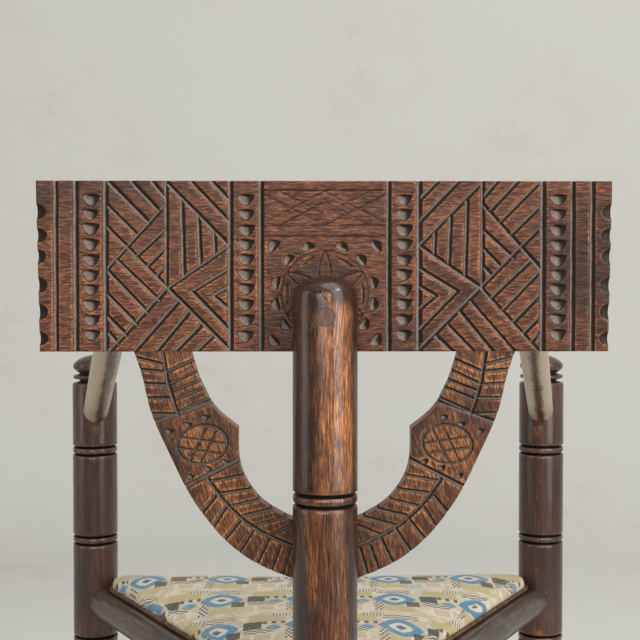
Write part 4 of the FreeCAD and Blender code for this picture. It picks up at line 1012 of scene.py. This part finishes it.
def postProfile(post):  # radius at each height, upwards
    top, bevel, dome = postTop[post], turning["footBevel"], turning["dome"]
    heights, radii = [0.0, 0.02], [0.0, postRadius - bevel]
    for step in range(1, 6):
        heights.append(bevel * step / 5)
        radii.append(postRadius - bevel * (1 - math.sin(step / 5 * math.pi / 2)))
    half = turning["ringHalf"]
    for ring in turning["rings"][post]:
        for up, cut in [(-up, cut) for up, cut in half] + half[:-1][::-1]:
            heights.append(ring + up)
            radii.append(postRadius - cut)
    if post == "rear_post":
        for step in range(0, 25):
            angle = step / 24 * math.pi / 2
            heights.append(top - dome + dome * math.sin(angle) ** turning["domePowers"][0])
            radii.append(postRadius * math.cos(angle) ** turning["domePowers"][1])
    else:
        for down, radius in reversed(turning["button"] + turning["thinRing"][1:]):
            heights.append(top - down)
            radii.append(radius)
    heights, radii = np.array(heights), np.array(radii)
    keep = np.concatenate([[True], np.diff(heights) > 1e-4])
    heights, radii = heights[keep], radii[keep]
    fine = [heights[0]]
    for low, high in zip(heights[:-1], heights[1:]):
        count = max(1, int(math.ceil((high - low) / turning["rise"])))
        fine += list(low + (high - low) * np.arange(1, count + 1) / count)
    fine = np.array(fine)
    return fine, np.interp(fine, heights, radii)


def notched(x, y, z):  # cut back where the crest and the yoke sit
    room = turning["notchRoom"]
    crestSeat = (z > crestLow.z - 0.2) & (y < crestHigh.y + room)
    y = np.where(crestSeat, crestHigh.y + room, y)
    low, high = [np.interp(np.abs(x), *edge[::-1][edge[::-1, 0] > -1].T) for edge in (yokeOuter, yokeInner)]
    yokeSeat = (z > low + 0.4) & (z < high - 0.4) & (y < yokeHigh.y + room)
    return np.where(yokeSeat, yokeHigh.y + room, y)


def blurredLine(values, at, reach):
    weight = np.exp(-0.5 * ((at[:, None] - at[None, :]) / reach) ** 2) * np.gradient(at)[None, :]
    return (weight * values[None, :]).sum(1) / weight.sum(1)


def turnFrom(angle, degrees):  # how far round from there, in radians from -pi to pi
    return (angle - math.radians(degrees) + math.pi) % (2 * math.pi) - math.pi


def cutAndRim(post, height, radius):  # by height alone
    top, sunk = postTop[post], postRadius - radius
    cut = np.clip(sunk / handling["cutFull"], 0, 1)
    rim = np.clip((blurredLine(sunk, height, handling["rimReach"]) - sunk) / handling["rimDeep"], 0, 1)
    if post == "rear_post":
        return cut * (height < handling["rearTop"]), rim * (height < handling["rearTop"])
    cut = cut * (height < top - handling["shaftUnder"])
    hollow = np.clip((postRadius - handling["buttonEdge"] - radius) / handling["buttonFull"], 0, 1)
    hollow = hollow * (height < top - handling["buttonOver"])
    return np.where(height > top - handling["buttonUnder"], hollow, cut), rim


def touchLightAndScar(post, level, angle):
    upper, lower = handling["touchAndLight"], handling["lowerTouch"]
    turned = turnFrom(angle, upper["turn"])
    fade = np.clip((postTop[post] - upper["fadeFrom"] - level) / upper["fade"], 0, 1)
    touchAndLight = np.exp(-(turned / np.where(turned < 0, *upper["wide"])) ** 2) * fade
    band = lower["strength"] * np.exp(-((angle - math.radians(lower["turn"])) / lower["wide"]) ** 4)
    touchAndLight = np.where(level > lower["under"], touchAndLight, np.maximum(0.5 * touchAndLight, band))
    scar = np.zeros_like(touchAndLight)
    for turn, high, across, tall, strength in handling["scars"][post]:
        spot = np.exp(-(turnFrom(angle, turn) * postRadius / across) ** 2 - ((level - high) / tall) ** 2)
        scar = np.maximum(scar, strength * spot)
    return touchAndLight, scar


def makePost(post, seed):
    rear = post == "rear_post"
    height, radius = postProfile(post)
    level = height[:, None]
    axisX, axisY = postAxis[post]
    around, seam = turning["around"], turning["seam"]
    angle = np.linspace(0, 2 * math.pi, around, endpoint=False)[None, :]
    rough = turning["rough"] * smoothNoise((len(height), around + seam - 1), turning["roughReach"], seed)[:, :around]
    blend = np.linspace(0, 1, seam)[None, :]
    rough[:, -seam:] = rough[:, -seam:] * (1 - blend) + rough[:, :1] * blend
    reach = np.maximum(radius[:, None] - np.abs(rough) * (radius[:, None] > turning["smoothUnder"]), 0.05)
    x, y = axisX + reach * np.cos(angle), axisY + reach * np.sin(angle)
    z = np.repeat(level, around, 1)
    cut, rim = cutAndRim(post, height, radius)
    cut = np.repeat(cut[:, None], around, 1)
    if rear:  # the plug's edge is scuffed above
        y = notched(x, y, z)
        scuff = handling["scuff"]
        spot = np.exp(-((x - scuff["x"]) / scuff["halfX"]) ** 2 - ((z - scuff["z"]) / scuff["halfZ"]) ** 2)
        cut = np.maximum(cut, scuff["strength"] * spot * (y > axisY))
    rows = len(height)
    keep = (rows - 1) * around
    tip = [axisX, axisY + (3 if rear else 0), height[-1]]
    points = np.concatenate([np.stack([x, y, z], -1).reshape(-1, 3)[:keep], [tip]])
    faces = [tuple(face) for face in gridFaces(rows - 1, around, closed=True).tolist()]
    faces += [(keep - around + step, keep - around + (step + 1) % around, keep) for step in range(around)]
    faces += [tuple(range(around))[::-1]]
    look = "oakRearPost" if rear else "oakFrontPost"
    piece = meshObject("turned_" + post, points * mm, faces,
                       oak(post + "_wood", look, (0, 0, 1), (axisX, axisY, 0), seed, True))
    touchAndLight, scar = touchLightAndScar(post, level, angle)
    for name, mark in (("cut", cut), ("rim", np.repeat(rim[:, None], around, 1)), ("touchAndLight", touchAndLight), ("scar", scar)):
        setMark(piece, name, np.append(mark[:-1].ravel(), 0))
    outward(piece)
    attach(piece, "root")
    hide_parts(post)


makePost("rear_post", 21)
makePost("front_post_left", 33)
makePost("front_post_right", 47)
print("posts made")


# Rods, pegs and plug keep their turned shapes and take their own wood
rods = {
    "arm_left": ("oakArm", 5.0), "arm_right": ("oakArm", 6.0),
    "seat_rail_left": ("oakRail", 7.0), "seat_rail_right": ("oakRail", 8.0), "seat_rail_front": ("oakRail", 9.0),
    "stretcher_left": ("oakRail", 10.0), "stretcher_right": ("oakRail", 12.0), "stretcher_front": ("oakRail", 13.0),
}


def dress(node, material):
    nodes[node].data.materials.clear()
    nodes[node].data.materials.append(material)


def dressRods():
    for node, (look, seed) in rods.items():
        low, high = corners(node)
        length = high - low
        way = {"left": (-1, 1), "right": (1, 1), "front": (1, 0)}[node.split("_")[-1]]
        rise = length.z if node.startswith("arm") else 0
        along = Vector((way[0] * length.x, way[1] * length.y, rise)).normalized()
        dress(node, oak(node + "_wood", look, along, (low + high) / 2, seed))


def pegWood(name, look, axis, centres, radius):  # end grain shows a dark line all round
    values = oakLooks[look]
    material, tree, shader = newMaterial(name)
    place = objectPlace(tree)
    grain = grainOf(tree, values, place, 4.0)
    nearest = None
    for centre in centres:
        way = Vector((axis[0] * (1 if centre[0] >= 0 else -1), axis[1], axis[2])).normalized()
        inputs = {0: place, 1: tuple(Vector(centre) * mm)}
        off = makeNode(tree, "ShaderNodeVectorMath", inputs, operation="SUBTRACT").outputs[0]
        side = makeNode(tree, "ShaderNodeVectorMath", {0: off, 1: tuple(way)}, operation="CROSS_PRODUCT").outputs[0]
        away = makeNode(tree, "ShaderNodeVectorMath", {0: side}, operation="LENGTH").outputs["Value"]
        nearest = away if nearest is None else calc(tree, "MINIMUM", nearest, away)
    line = ease(tree, nearest, (radius - 0.95) * mm, (radius - 0.45) * mm)
    tree.links.new(mixColour(tree, line, grain["Colour"], tone(*values["dirt"])), shader.inputs["Base Color"])
    tree.links.new(bump(tree, grain["Height"], 0.4, 0.0006), shader.inputs["Normal"])
    shader.inputs["Roughness"].default_value = 0.42
    shader.inputs["Coat Weight"].default_value = 0.2
    shader.inputs["Coat Roughness"].default_value = 0.3
    return material


def plainWood(name, pale, dark, along):
    material, tree, shader = newMaterial(name)
    stripe = noiseOf(tree, objectPlace(tree), 160.0, tuple(0.06 if part else 1.0 for part in along))
    colour = mixColour(tree, ease(tree, stripe, 0.35, 0.65), tone(*dark), tone(*pale))
    tree.links.new(colour, shader.inputs["Base Color"])
    shader.inputs["Roughness"].default_value = 0.7
    return material


def dressSmallPieces():
    steel, tree, shader = newMaterial("dullSteel")
    shader.inputs["Metallic"].default_value = 1.0
    spots = noiseOf(tree, objectPlace(tree), 700.0)
    tree.links.new(mixColour(tree, spots, tone(120, 116, 110), tone(168, 166, 162)), shader.inputs["Base Color"])
    shader.inputs["Roughness"].default_value = 0.42
    armPegs = [(263.5, -223.2, 600.0), (-263.5, -223.2, 600.0)]
    dress("crest_plug", pegWood("plugWood", "oakPeg", (0, 1, 0), [(0, 240, 742)], 7.5))
    dress("yoke_peg", pegWood("yokePegWood", "oakPeg", (0, 1, 0), [(0, 215, 546.5)], 5.0))
    dress("arm_pegs", pegWood("armPegWood", "oakFrontPeg", (-0.229, 0.9734, 0), armPegs, 5.0))
    dress("yoke_dowels", plainWood("dowelWood", (176, 140, 98), (150, 112, 74), (0, 0, 1)))
    dress("seat_board", plainWood("boardWood", (172, 134, 92), (140, 104, 68), (1, 0, 0)))
    dress("seat_screws", steel)
    dress("crest_screw", steel)


dressRods()
dressSmallPieces()
print("rods and small pieces dressed")


# Seat: a stuffed triangle under cloth. Its outline is the foot of the cloth in the frame
seat = {
    "columns": 384, "crownRows": 46, "outlineReach": 1.3,
    "foot": 411.8, "boardTop": 415.3, "shoulder": 423.6, "crown": 428.2,
    "under": (0.35, 0.7, 0.93), "clothUnder": -40.0, "clothFall": 16.0, "clothLeast": -6.0,
    "draw": 2.0, "cornerLift": 2.6, "sag": 1.2, "cornerAway": 45, "cornerReach": 190,
    "ripples": ((37, 0.16), (61, 0.12), (96, 0.1)),  # how many round the seat, size
    "voxel": 4.5, "pressure": 4.0, "frames": 20, "cap": 5.0, "fill": 0.75, "heldOver": 2.2, "movedOver": 0.6,
    "stuff": {"quality": 6, "mass": 0.25, "tension_stiffness": 12, "compression_stiffness": 12,
              "shear_stiffness": 6, "bending_stiffness": 0.4, "use_pressure": True, "vertex_group_mass": "held"},
    "cordRadius": 2.35, "strandRadius": 1.25, "layRadius": 1.15, "twist": 6.4, "cordStep": 0.62,
}


def hull(flat):  # the outer outline of flat points, going round leftwards
    points = sorted(map(tuple, np.round(flat, 4)))
    halves = []
    for ordered in (points, points[::-1]):
        line = []
        for point in ordered:
            while len(line) > 1 and ((line[-1][0] - line[-2][0]) * (point[1] - line[-2][1])
                                     - (line[-1][1] - line[-2][1]) * (point[0] - line[-2][0])) <= 0:
                line.pop()
            line.append(point)
        halves.append(line[:-1])
    return np.array(halves[0] + halves[1])


def loopSpread(line, count):
    closed = np.concatenate([line, line[:1]])
    return spread(closed, count + 1)[:-1]


def loopSmooth(line, reach):
    count = len(line)
    away = np.minimum(np.arange(count), count - np.arange(count))
    kernel = np.exp(-0.5 * (away / reach) ** 2)
    wave = np.fft.fft(kernel / kernel.sum())
    return np.stack([np.fft.ifft(np.fft.fft(line[:, part]) * wave).real for part in range(2)], 1)


def loopOutward(line):
    along = np.roll(line, -1, 0) - np.roll(line, 1, 0)
    along /= np.hypot(*along.T)[:, None]
    return np.stack([along[:, 1], -along[:, 0]], 1)


def seatOutline():
    points = pointsOf(nodes["seat_cover"]) / mm
    foot = points[points[:, 2] < points[:, 2].min() + 0.05][:, :2]
    return loopSmooth(loopSpread(hull(foot), seat["columns"]), seat["outlineReach"])


def makeCushion():
    outline = seatOutline()
    wayOut = loopOutward(outline)
    count = len(outline)
    middle = outline.mean(0)
    cornerAway = np.min([np.hypot(*(outline - np.array(postAxis[post])).T) for post in postAxis], 0)
    side = np.clip((cornerAway - seat["cornerAway"]) / seat["cornerReach"], 0, 1)  # 1 half way along a side
    bow = side * side * (3 - 2 * side)
    rng = np.random.default_rng(4)
    ripple = np.zeros(count)
    for turns, size in seat["ripples"]:
        ripple += size * np.sin(2 * math.pi * turns * np.arange(count) / count + rng.uniform(0, 6.3))
    foot, shoulder, boardTop, crown = seat["foot"], seat["shoulder"], seat["boardTop"], seat["crown"]
    lift = seat["cornerLift"] * (1 - bow) - seat["sag"] * bow
    rows, cloth = [], []  # places and heights, and how far out on the flat cloth each row lies
    for share in seat["under"]:
        rows.append((middle + (outline - middle) * share, np.full(count, boardTop)))
        cloth.append(seat["clothUnder"])
    skirt = [  # out from the outline, height, share of the drawn-in sides, share of the lift
        (-1.5, boardTop, 0, 0), (-1.35, foot + 0.4, 0, 0), (-0.7, foot, 0, 0), (-0.1, foot + 0.3, 0, 0),
        (0.1, foot + 1.6, 0, 0), (0.2, foot + 3.4, 0.1, 0), (0.5, foot + 5.4, 0.4, 0.2), (0.35, foot + 7.6, 0.8, 0.4),
        (-0.4, foot + 9.6, 1.0, 0.6), (-1.7, foot + 11.2, 1.0, 0.8), (-3.4, shoulder - 0.2, 1.0, 0.9),
        (-5.6, shoulder + 0.5, 1.0, 1.0)]
    fall = seat["clothFall"]
    for number, (out, high, drawn, lifted) in enumerate(skirt):
        reach = out - seat["draw"] * drawn * bow + ripple * (number > 4)
        rows.append((outline + wayOut * reach[:, None], high + lift * lifted + ripple * 0.5 * (number > 4)))
        if number > 3:
            before, now = skirt[number - 1], skirt[number]
            fall -= math.hypot(now[0] - before[0], now[1] - before[1])
        cloth.append(max(fall, seat["clothLeast"]))
    rim = rows[-1][0]
    for step in range(1, seat["crownRows"] + 1):
        share = 1 - step / (seat["crownRows"] + 0.4)
        high = shoulder + 0.5 + (crown - shoulder) * (1 - share ** 2.4) + lift * share ** 5
        rows.append((middle + (rim - middle) * share, high))
        cloth.append(None)
    pattern = [place if far is None else outline + wayOut * far for (place, high), far in zip(rows, cloth)]
    pattern = np.concatenate(pattern + [[middle, middle]])
    points = np.concatenate([np.column_stack([place, high]) for place, high in rows]
                            + [[[*middle, boardTop], [*middle, crown + 0.5]]])
    low = len(rows) * count
    last = low - count
    faces = [tuple(face) for face in gridFaces(len(rows), count, closed=True).tolist()]
    faces += [(low, (step + 1) % count, step) for step in range(count)]
    faces += [(last + step, last + (step + 1) % count, low + 1) for step in range(count)]
    piece = meshObject("stuffedSeat", points * mm, faces)
    outward(piece)
    layer = piece.data.attributes.new("cloth", "FLOAT_VECTOR", "POINT")
    layer.data.foreach_set("vector", np.column_stack([pattern * mm, np.zeros(len(pattern))]).astype(np.float32).ravel())
    plump(piece)
    piece.data.materials.append(makeCloth())
    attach(piece, "root")
    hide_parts("seat_cover", "seat_pad")
    return outline, wayOut


def plump(piece):  # lets air out against the cloth, and takes over how far it moves
    scene = bpy.context.scene
    trial = bpy.data.objects.new("trialSeat", piece.data.copy())
    scene.collection.objects.link(trial)
    points = pointsOf(trial)
    points[:, 2] = np.maximum(points[:, 2], (seat["boardTop"] - 0.2) * mm)
    trial.data.vertices.foreach_set("co", points.astype(np.float32).ravel())
    remesh = trial.modifiers.new("voxels", "REMESH")
    remesh.mode = "VOXEL"
    remesh.voxel_size = seat["voxel"] * mm
    applyModifiers(trial)
    before = pointsOf(trial)
    held = trial.vertex_groups.new(name="held")
    low = np.where(before[:, 2] < (seat["boardTop"] + seat["heldOver"]) * mm)[0]
    held.add([int(index) for index in low], 1.0, "REPLACE")
    air = trial.modifiers.new("air", "CLOTH")
    for name, value in seat["stuff"].items():
        setattr(air.settings, name, value)
    air.settings.uniform_pressure_force = seat["pressure"]
    air.settings.effector_weights.gravity = 0
    air.point_cache.frame_start = 1
    air.point_cache.frame_end = seat["frames"]
    for number in range(1, seat["frames"] + 1):
        scene.frame_set(number)
    applyModifiers(trial)
    moved = pointsOf(trial) - before
    bpy.data.objects.remove(trial)
    scene.frame_set(1)
    length = np.linalg.norm(moved, axis=1)
    print("cushion swells by", round(float(np.median(length)) / mm, 2), "to", round(float(length.max()) / mm, 2), "mm")
    moved *= np.minimum(1, seat["cap"] * mm / np.maximum(length, 1e-9))[:, None]
    tree = KDTree(len(before))
    for index, place in enumerate(before):
        tree.insert(place, index)
    tree.balance()
    points = pointsOf(piece)
    shift = np.zeros_like(points)
    for index, place in enumerate(points):
        if place[2] < (seat["boardTop"] + seat["movedOver"]) * mm:
            continue
        near = tree.find_n(place, 6)
        weight = np.array([1 / (away + 1e-4) for _, _, away in near])
        shift[index] = (moved[[hit for _, hit, _ in near]] * weight[:, None]).sum(0) / weight.sum()
    piece.data.vertices.foreach_set("co", (points + shift).astype(np.float32).ravel())
    piece.data.update()


# Cloth: a printed cotton of our own geometric design, on a plain weave
clothLook = {
    "cell": 92.0, "ground": (186, 170, 140), "cream": (206, 194, 170), "pale": (162, 174, 168),
    "yellow": (176, 162, 108), "blue": (78, 128, 156), "deepBlue": (52, 92, 126), "charcoal": (46, 46, 42),
    "soil": (168, 152, 118), "threads": 1350.0,
    "ragged": (700.0, (0.0016, 0.0016, 0)), "cellAt": (0.13, 0.31), "edge": 0.015, "lozengePower": 1.35,
    "motifs": [  # kind, middle and half size in a cell from -1 to 1, limit, colour, strength, what breaks it up
        ("box", (0.46, -0.60, 0.40, 0.24), 1.0, "yellow", 0.85, None),
        ("box", (-0.52, 0.62, 0.34, 0.20), 1.0, "yellow", 0.8, None),
        ("box", (0.52, 0.58, 0.27, 0.27), 1.0, "cream", 1.0, None),
        ("box", (0.52, 0.58, 0.27, 0.27), 0.66, "ground", 1.0, None),
        ("lozenge", (-0.44, -0.12), 0.50, "blue", 1.0, None),
        ("lozenge", (-0.44, -0.12), 0.27, "cream", 1.0, None),
        ("lozenge", (-0.44, -0.12), 0.12, "deepBlue", 1.0, None),
        ("lozenge", (0.30, 0.04), 0.17, "blue", 0.9, None),
        ("box", (-0.46, -0.78, 0.40, 0.16), 1.0, "cream", 1.0, None),
        ("box", (-0.46, -0.78, 0.40, 0.16), 1.0, "charcoal", 0.9, "zigzag"),
        ("box", (0.76, -0.16, 0.20, 0.22), 1.0, "charcoal", 0.92, None),
        ("box", (0.62, 0.20, 0.32, 0.15), 1.0, "cream", 1.0, None),
        ("box", (0.62, 0.20, 0.32, 0.15), 1.0, "charcoal", 0.92, "checks"),
        ("box", (-0.06, 0.42, 0.11, 0.34), 1.0, "cream", 1.0, None),
        ("box", (-0.06, 0.42, 0.11, 0.34), 1.0, "charcoal", 0.92, "tallChecks"),
        ("box", (0.12, -0.86, 0.22, 0.11), 1.0, "cream", 1.0, None),
        ("box", (0.12, -0.86, 0.22, 0.11), 1.0, "charcoal", 0.85, "rules"),
        ("box", (-0.84, 0.26, 0.15, 0.18), 1.0, "charcoal", 0.9, None),
        ("box", (0.36, -0.30, 0.30, 0.085), 1.0, "charcoal", 0.9, "comb")],
}


def makeWeave():
    tree, given, gives = newGroup("plainWeave", [("Place", "vector"), ("Threads", "value")],
                                  [("Height", "value"), ("Shade", "value")])
    wobble = noiseOf(tree, given["Place"], 160.0, detail=1.0)
    wave = []
    for part in partsOf(tree, given["Place"])[:2]:
        phase = calc(tree, "MULTIPLY", part, given["Threads"])
        phase = calc(tree, "ADD", phase, calc(tree, "MULTIPLY", wobble, 2.0))
        wave.append(calc(tree, "SINE", calc(tree, "MULTIPLY", phase, math.pi)))
    over = calc(tree, "MULTIPLY", *wave)
    slub = noiseOf(tree, given["Place"], 900.0, (1, 0.12, 1), detail=2.0)
    tree.links.new(calc(tree, "MULTIPLY_ADD", over, 0.5, slub), gives["Height"])
    tree.links.new(calc(tree, "MULTIPLY_ADD", over, 0.14, calc(tree, "MULTIPLY_ADD", slub, 0.5, 0.66)), gives["Shade"])
    return tree


weaveGroup = makeWeave()


def printDesign(tree, place, colour):  # lays the motifs over the ground, one after another
    look = clothLook
    scale, size = look["ragged"]
    ragged = makeNode(tree, "ShaderNodeTexNoise", {"Vector": place, "Scale": scale, "Detail": 1.0}).outputs[1]
    shift = makeNode(tree, "ShaderNodeVectorMath", {0: ragged, 1: size}, operation="MULTIPLY").outputs[0]
    frayed = makeNode(tree, "ShaderNodeVectorMath", {0: place, 1: shift}, operation="ADD").outputs[0]
    cell = []  # from -1 to 1 across a cell
    for part, offset in zip(partsOf(tree, frayed), look["cellAt"]):
        scaled = calc(tree, "FRACT", calc(tree, "MULTIPLY_ADD", part, 1 / (look["cell"] * mm), offset))
        cell.append(calc(tree, "MULTIPLY_ADD", scaled, 2.0, -1.0))
    x, y = cell

    def times(first, second):
        return calc(tree, "MULTIPLY", first, second)

    def apart(first, second):
        return calc(tree, "ABSOLUTE", calc(tree, "SUBTRACT", first, second))

    def repeated(value, count):
        return calc(tree, "FRACT", times(value, count))

    def below(value, limit):
        return ease(tree, value, limit + look["edge"], limit - look["edge"])

    def squares(perX, perY):
        waves = times(calc(tree, "SINE", times(x, perX)), calc(tree, "SINE", times(y, perY)))
        return ease(tree, waves, -0.05, 0.05)

    def box(atX, atY, halfX, halfY):  # 1 on its edge
        across = calc(tree, "DIVIDE", apart(x, atX), halfX)
        return calc(tree, "MAXIMUM", across, calc(tree, "DIVIDE", apart(y, atY), halfY))

    def lozenge(atX, atY):  # soft, and 1 at the unit size
        power = look["lozengePower"]
        across, up = [calc(tree, "POWER", apart(*ends), power) for ends in ((x, atX), (y, atY))]
        return calc(tree, "POWER", calc(tree, "ADD", across, up), 1 / power)

    saw = calc(tree, "ABSOLUTE", calc(tree, "MULTIPLY_ADD", repeated(x, 4.5), 2.0, -1.0))
    bars = calc(tree, "FRACT", calc(tree, "MULTIPLY_ADD", y, 7.0, times(saw, 0.55)))
    breaks = {"zigzag": below(apart(bars, 0.5), 0.22), "checks": squares(29.0, 42.0),
              "tallChecks": squares(57.0, 29.0), "rules": below(apart(repeated(x, 14.0), 0.5), 0.2),
              "comb": below(apart(repeated(x, 5.0), 0.5), 0.24)}
    kinds = {"box": box, "lozenge": lozenge}
    for kind, sizes, limit, shade, strength, broken in look["motifs"]:
        mask = below(kinds[kind](*sizes), limit)
        if broken:
            mask = times(mask, breaks[broken])
        colour = mixColour(tree, times(mask, strength), colour, tone(*look[shade]))
    return colour


def makeCloth():
    look = clothLook
    material, tree, shader = newMaterial("printedCotton")
    place = attribute(tree, "cloth", "Vector")
    mottle = noiseOf(tree, place, 55.0)
    patch = noiseOf(tree, place, 24.0, detail=1.0)
    colour = mixColour(tree, ease(tree, mottle, 0.42, 0.6), tone(*look["ground"]), tone(*look["cream"]))
    colour = mixColour(tree, calc(tree, "MULTIPLY", ease(tree, patch, 0.56, 0.66), 0.55), colour, tone(*look["pale"]))
    colour = printDesign(tree, place, colour)
    weave = useGroup(tree, weaveGroup, {"Place": place, "Threads": look["threads"]})
    grey = makeNode(tree, "ShaderNodeCombineColor", {part: weave["Shade"] for part in range(3)}).outputs[0]
    # painted shade: the weave's crossings darken the print, and the slubs vary the yarn's tone
    weaveShaded = mixColour(tree, 1.0, colour, grey, "MULTIPLY")
    soil = calc(tree, "MULTIPLY", ease(tree, noiseOf(tree, place, 14.0), 0.5, 0.75), 0.25)
    tree.links.new(mixColour(tree, soil, weaveShaded, tone(*look["soil"])), shader.inputs["Base Color"])
    tree.links.new(calc(tree, "MULTIPLY_ADD", mottle, 0.1, 0.8), shader.inputs["Roughness"])
    tree.links.new(bump(tree, weave["Height"], 0.5, 0.0004), shader.inputs["Normal"])
    shader.inputs["Specular IOR Level"].default_value = 0.25
    shader.inputs["Sheen Weight"].default_value = 0.15
    shader.inputs["Sheen Roughness"].default_value = 0.5
    return material


seatLine, seatWay = makeCushion()
print("cushion made")


# Gimp: three twisted strands along the cloth's lower edge, made with geometry nodes
cordLook = {"dark": (66, 44, 33), "middle": (118, 82, 60), "pale": (158, 120, 92), "core": (40, 28, 22)}


def cordMaterial():
    material, tree, shader = newMaterial("gimpCord")
    place = objectPlace(tree)
    fuzz = noiseOf(tree, place, 900.0, detail=2.0)
    patch = noiseOf(tree, place, 120.0, detail=2.0)
    dark, middle, pale, core = [tone(*cordLook[part]) for part in ("dark", "middle", "pale", "core")]
    colour = mixColour(tree, ease(tree, patch, 0.35, 0.65), dark, middle)
    colour = mixColour(tree, calc(tree, "MULTIPLY", ease(tree, fuzz, 0.5, 0.7), 0.5), colour, pale)
    colour = mixColour(tree, calc(tree, "MULTIPLY", attribute(tree, "strand"), 0.8), colour, core)
    tree.links.new(colour, shader.inputs["Base Color"])
    tree.links.new(bump(tree, fuzz, 0.6, 0.0003), shader.inputs["Normal"])
    shader.inputs["Roughness"].default_value = 0.75
    shader.inputs["Specular IOR Level"].default_value = 0.3
    return material


def makeCordTree(material):
    tree = bpy.data.node_groups.new("twistedCord", "GeometryNodeTree")
    tree.interface.new_socket(name="Path", in_out="INPUT", socket_type="NodeSocketGeometry")
    for label, value in (("Strand Radius", "strandRadius"), ("Lay Radius", "layRadius"),
                         ("Pitch", "twist"), ("Step", "cordStep")):
        socket = tree.interface.new_socket(name=label, in_out="INPUT", socket_type="NodeSocketFloat")
        socket.default_value = seat[value] * mm
    tree.interface.new_socket(name="Cord", in_out="OUTPUT", socket_type="NodeSocketGeometry")
    start, end = tree.nodes.new("NodeGroupInput").outputs, tree.nodes.new("NodeGroupOutput").inputs
    curve = makeNode(tree, "GeometryNodeMeshToCurve", {0: start["Path"]}).outputs[0]
    inputs = {"Curve": curve, "Length": start["Step"]}
    curve = makeNode(tree, "GeometryNodeResampleCurve", inputs, mode="LENGTH").outputs[0]
    along = tree.nodes.new("GeometryNodeSplineParameter").outputs["Length"]
    tangent = tree.nodes.new("GeometryNodeInputTangent").outputs[0]
    side = makeNode(tree, "ShaderNodeVectorMath", {0: tangent, 1: (0, 0, 1)}, operation="CROSS_PRODUCT").outputs[0]
    profile = makeNode(tree, "GeometryNodeCurvePrimitiveCircle", {"Resolution": 6, "Radius": start["Strand Radius"]},
                       mode="RADIUS").outputs[0]
    join = tree.nodes.new("GeometryNodeJoinGeometry")
    for number in range(3):
        turn = calc(tree, "MULTIPLY_ADD", calc(tree, "DIVIDE", along, start["Pitch"]), 2 * math.pi,
                    number * 2 * math.pi / 3)
        out = calc(tree, "MULTIPLY", calc(tree, "COSINE", turn), start["Lay Radius"])
        up = calc(tree, "MULTIPLY", calc(tree, "SINE", turn), start["Lay Radius"])
        shift = makeNode(tree, "ShaderNodeVectorMath", {0: side, "Scale": out}, operation="SCALE").outputs[0]
        lift = makeNode(tree, "ShaderNodeCombineXYZ", {2: up}).outputs[0]
        offset = makeNode(tree, "ShaderNodeVectorMath", {0: shift, 1: lift}, operation="ADD").outputs[0]
        laid = makeNode(tree, "GeometryNodeSetPosition", {"Geometry": curve, "Offset": offset}).outputs[0]
        tube = makeNode(tree, "GeometryNodeCurveToMesh", {"Curve": laid, "Profile Curve": profile}).outputs[0]
        inputs = {"Geometry": tube, "Name": "strand", "Value": 1.0 if number == 0 else 0.0}
        tube = makeNode(tree, "GeometryNodeStoreNamedAttribute", inputs, data_type="FLOAT", domain="POINT").outputs[0]
        tree.links.new(tube, join.inputs[0])
    smooth = makeNode(tree, "GeometryNodeSetShadeSmooth", {"Geometry": join.outputs[0]}).outputs[0]
    whole = makeNode(tree, "GeometryNodeRealizeInstances", {"Geometry": smooth}).outputs[0]
    finished = makeNode(tree, "GeometryNodeSetMaterial", {"Geometry": whole, "Material": material}).outputs[0]
    tree.links.new(finished, end[0])
    return tree


def growNodes(piece, tree, values):  # runs the tree on the piece, and leaves a plain mesh
    growth = piece.modifiers.new(tree.name, "NODES")
    growth.node_group = tree
    for socket in tree.interface.items_tree:
        if socket.name in values:
            growth[socket.identifier] = values[socket.name]
    applyModifiers(piece)


def makeGimp():
    line = seatLine + seatWay * (seat["cordRadius"] - 0.1)
    points = np.column_stack([line, np.full(len(line), seat["foot"] + seat["cordRadius"] - 0.1)])
    mesh = bpy.data.meshes.new("gimpPath")
    edges = [(step, (step + 1) % len(line)) for step in range(len(line))]
    mesh.from_pydata([tuple(point * mm) for point in points], edges, [])
    piece = bpy.data.objects.new("twistedGimp", mesh)
    bpy.context.scene.collection.objects.link(piece)
    length = np.hypot(*(np.roll(line, -1, 0) - line).T).sum()
    pitch = length / round(length / seat["twist"]) * mm
    growNodes(piece, makeCordTree(cordMaterial()), {"Pitch": pitch})
    print("gimp", len(piece.data.polygons), "faces")
    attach(piece, "root")
    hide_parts("seat_gimp")


makeGimp()
print("gimp made")
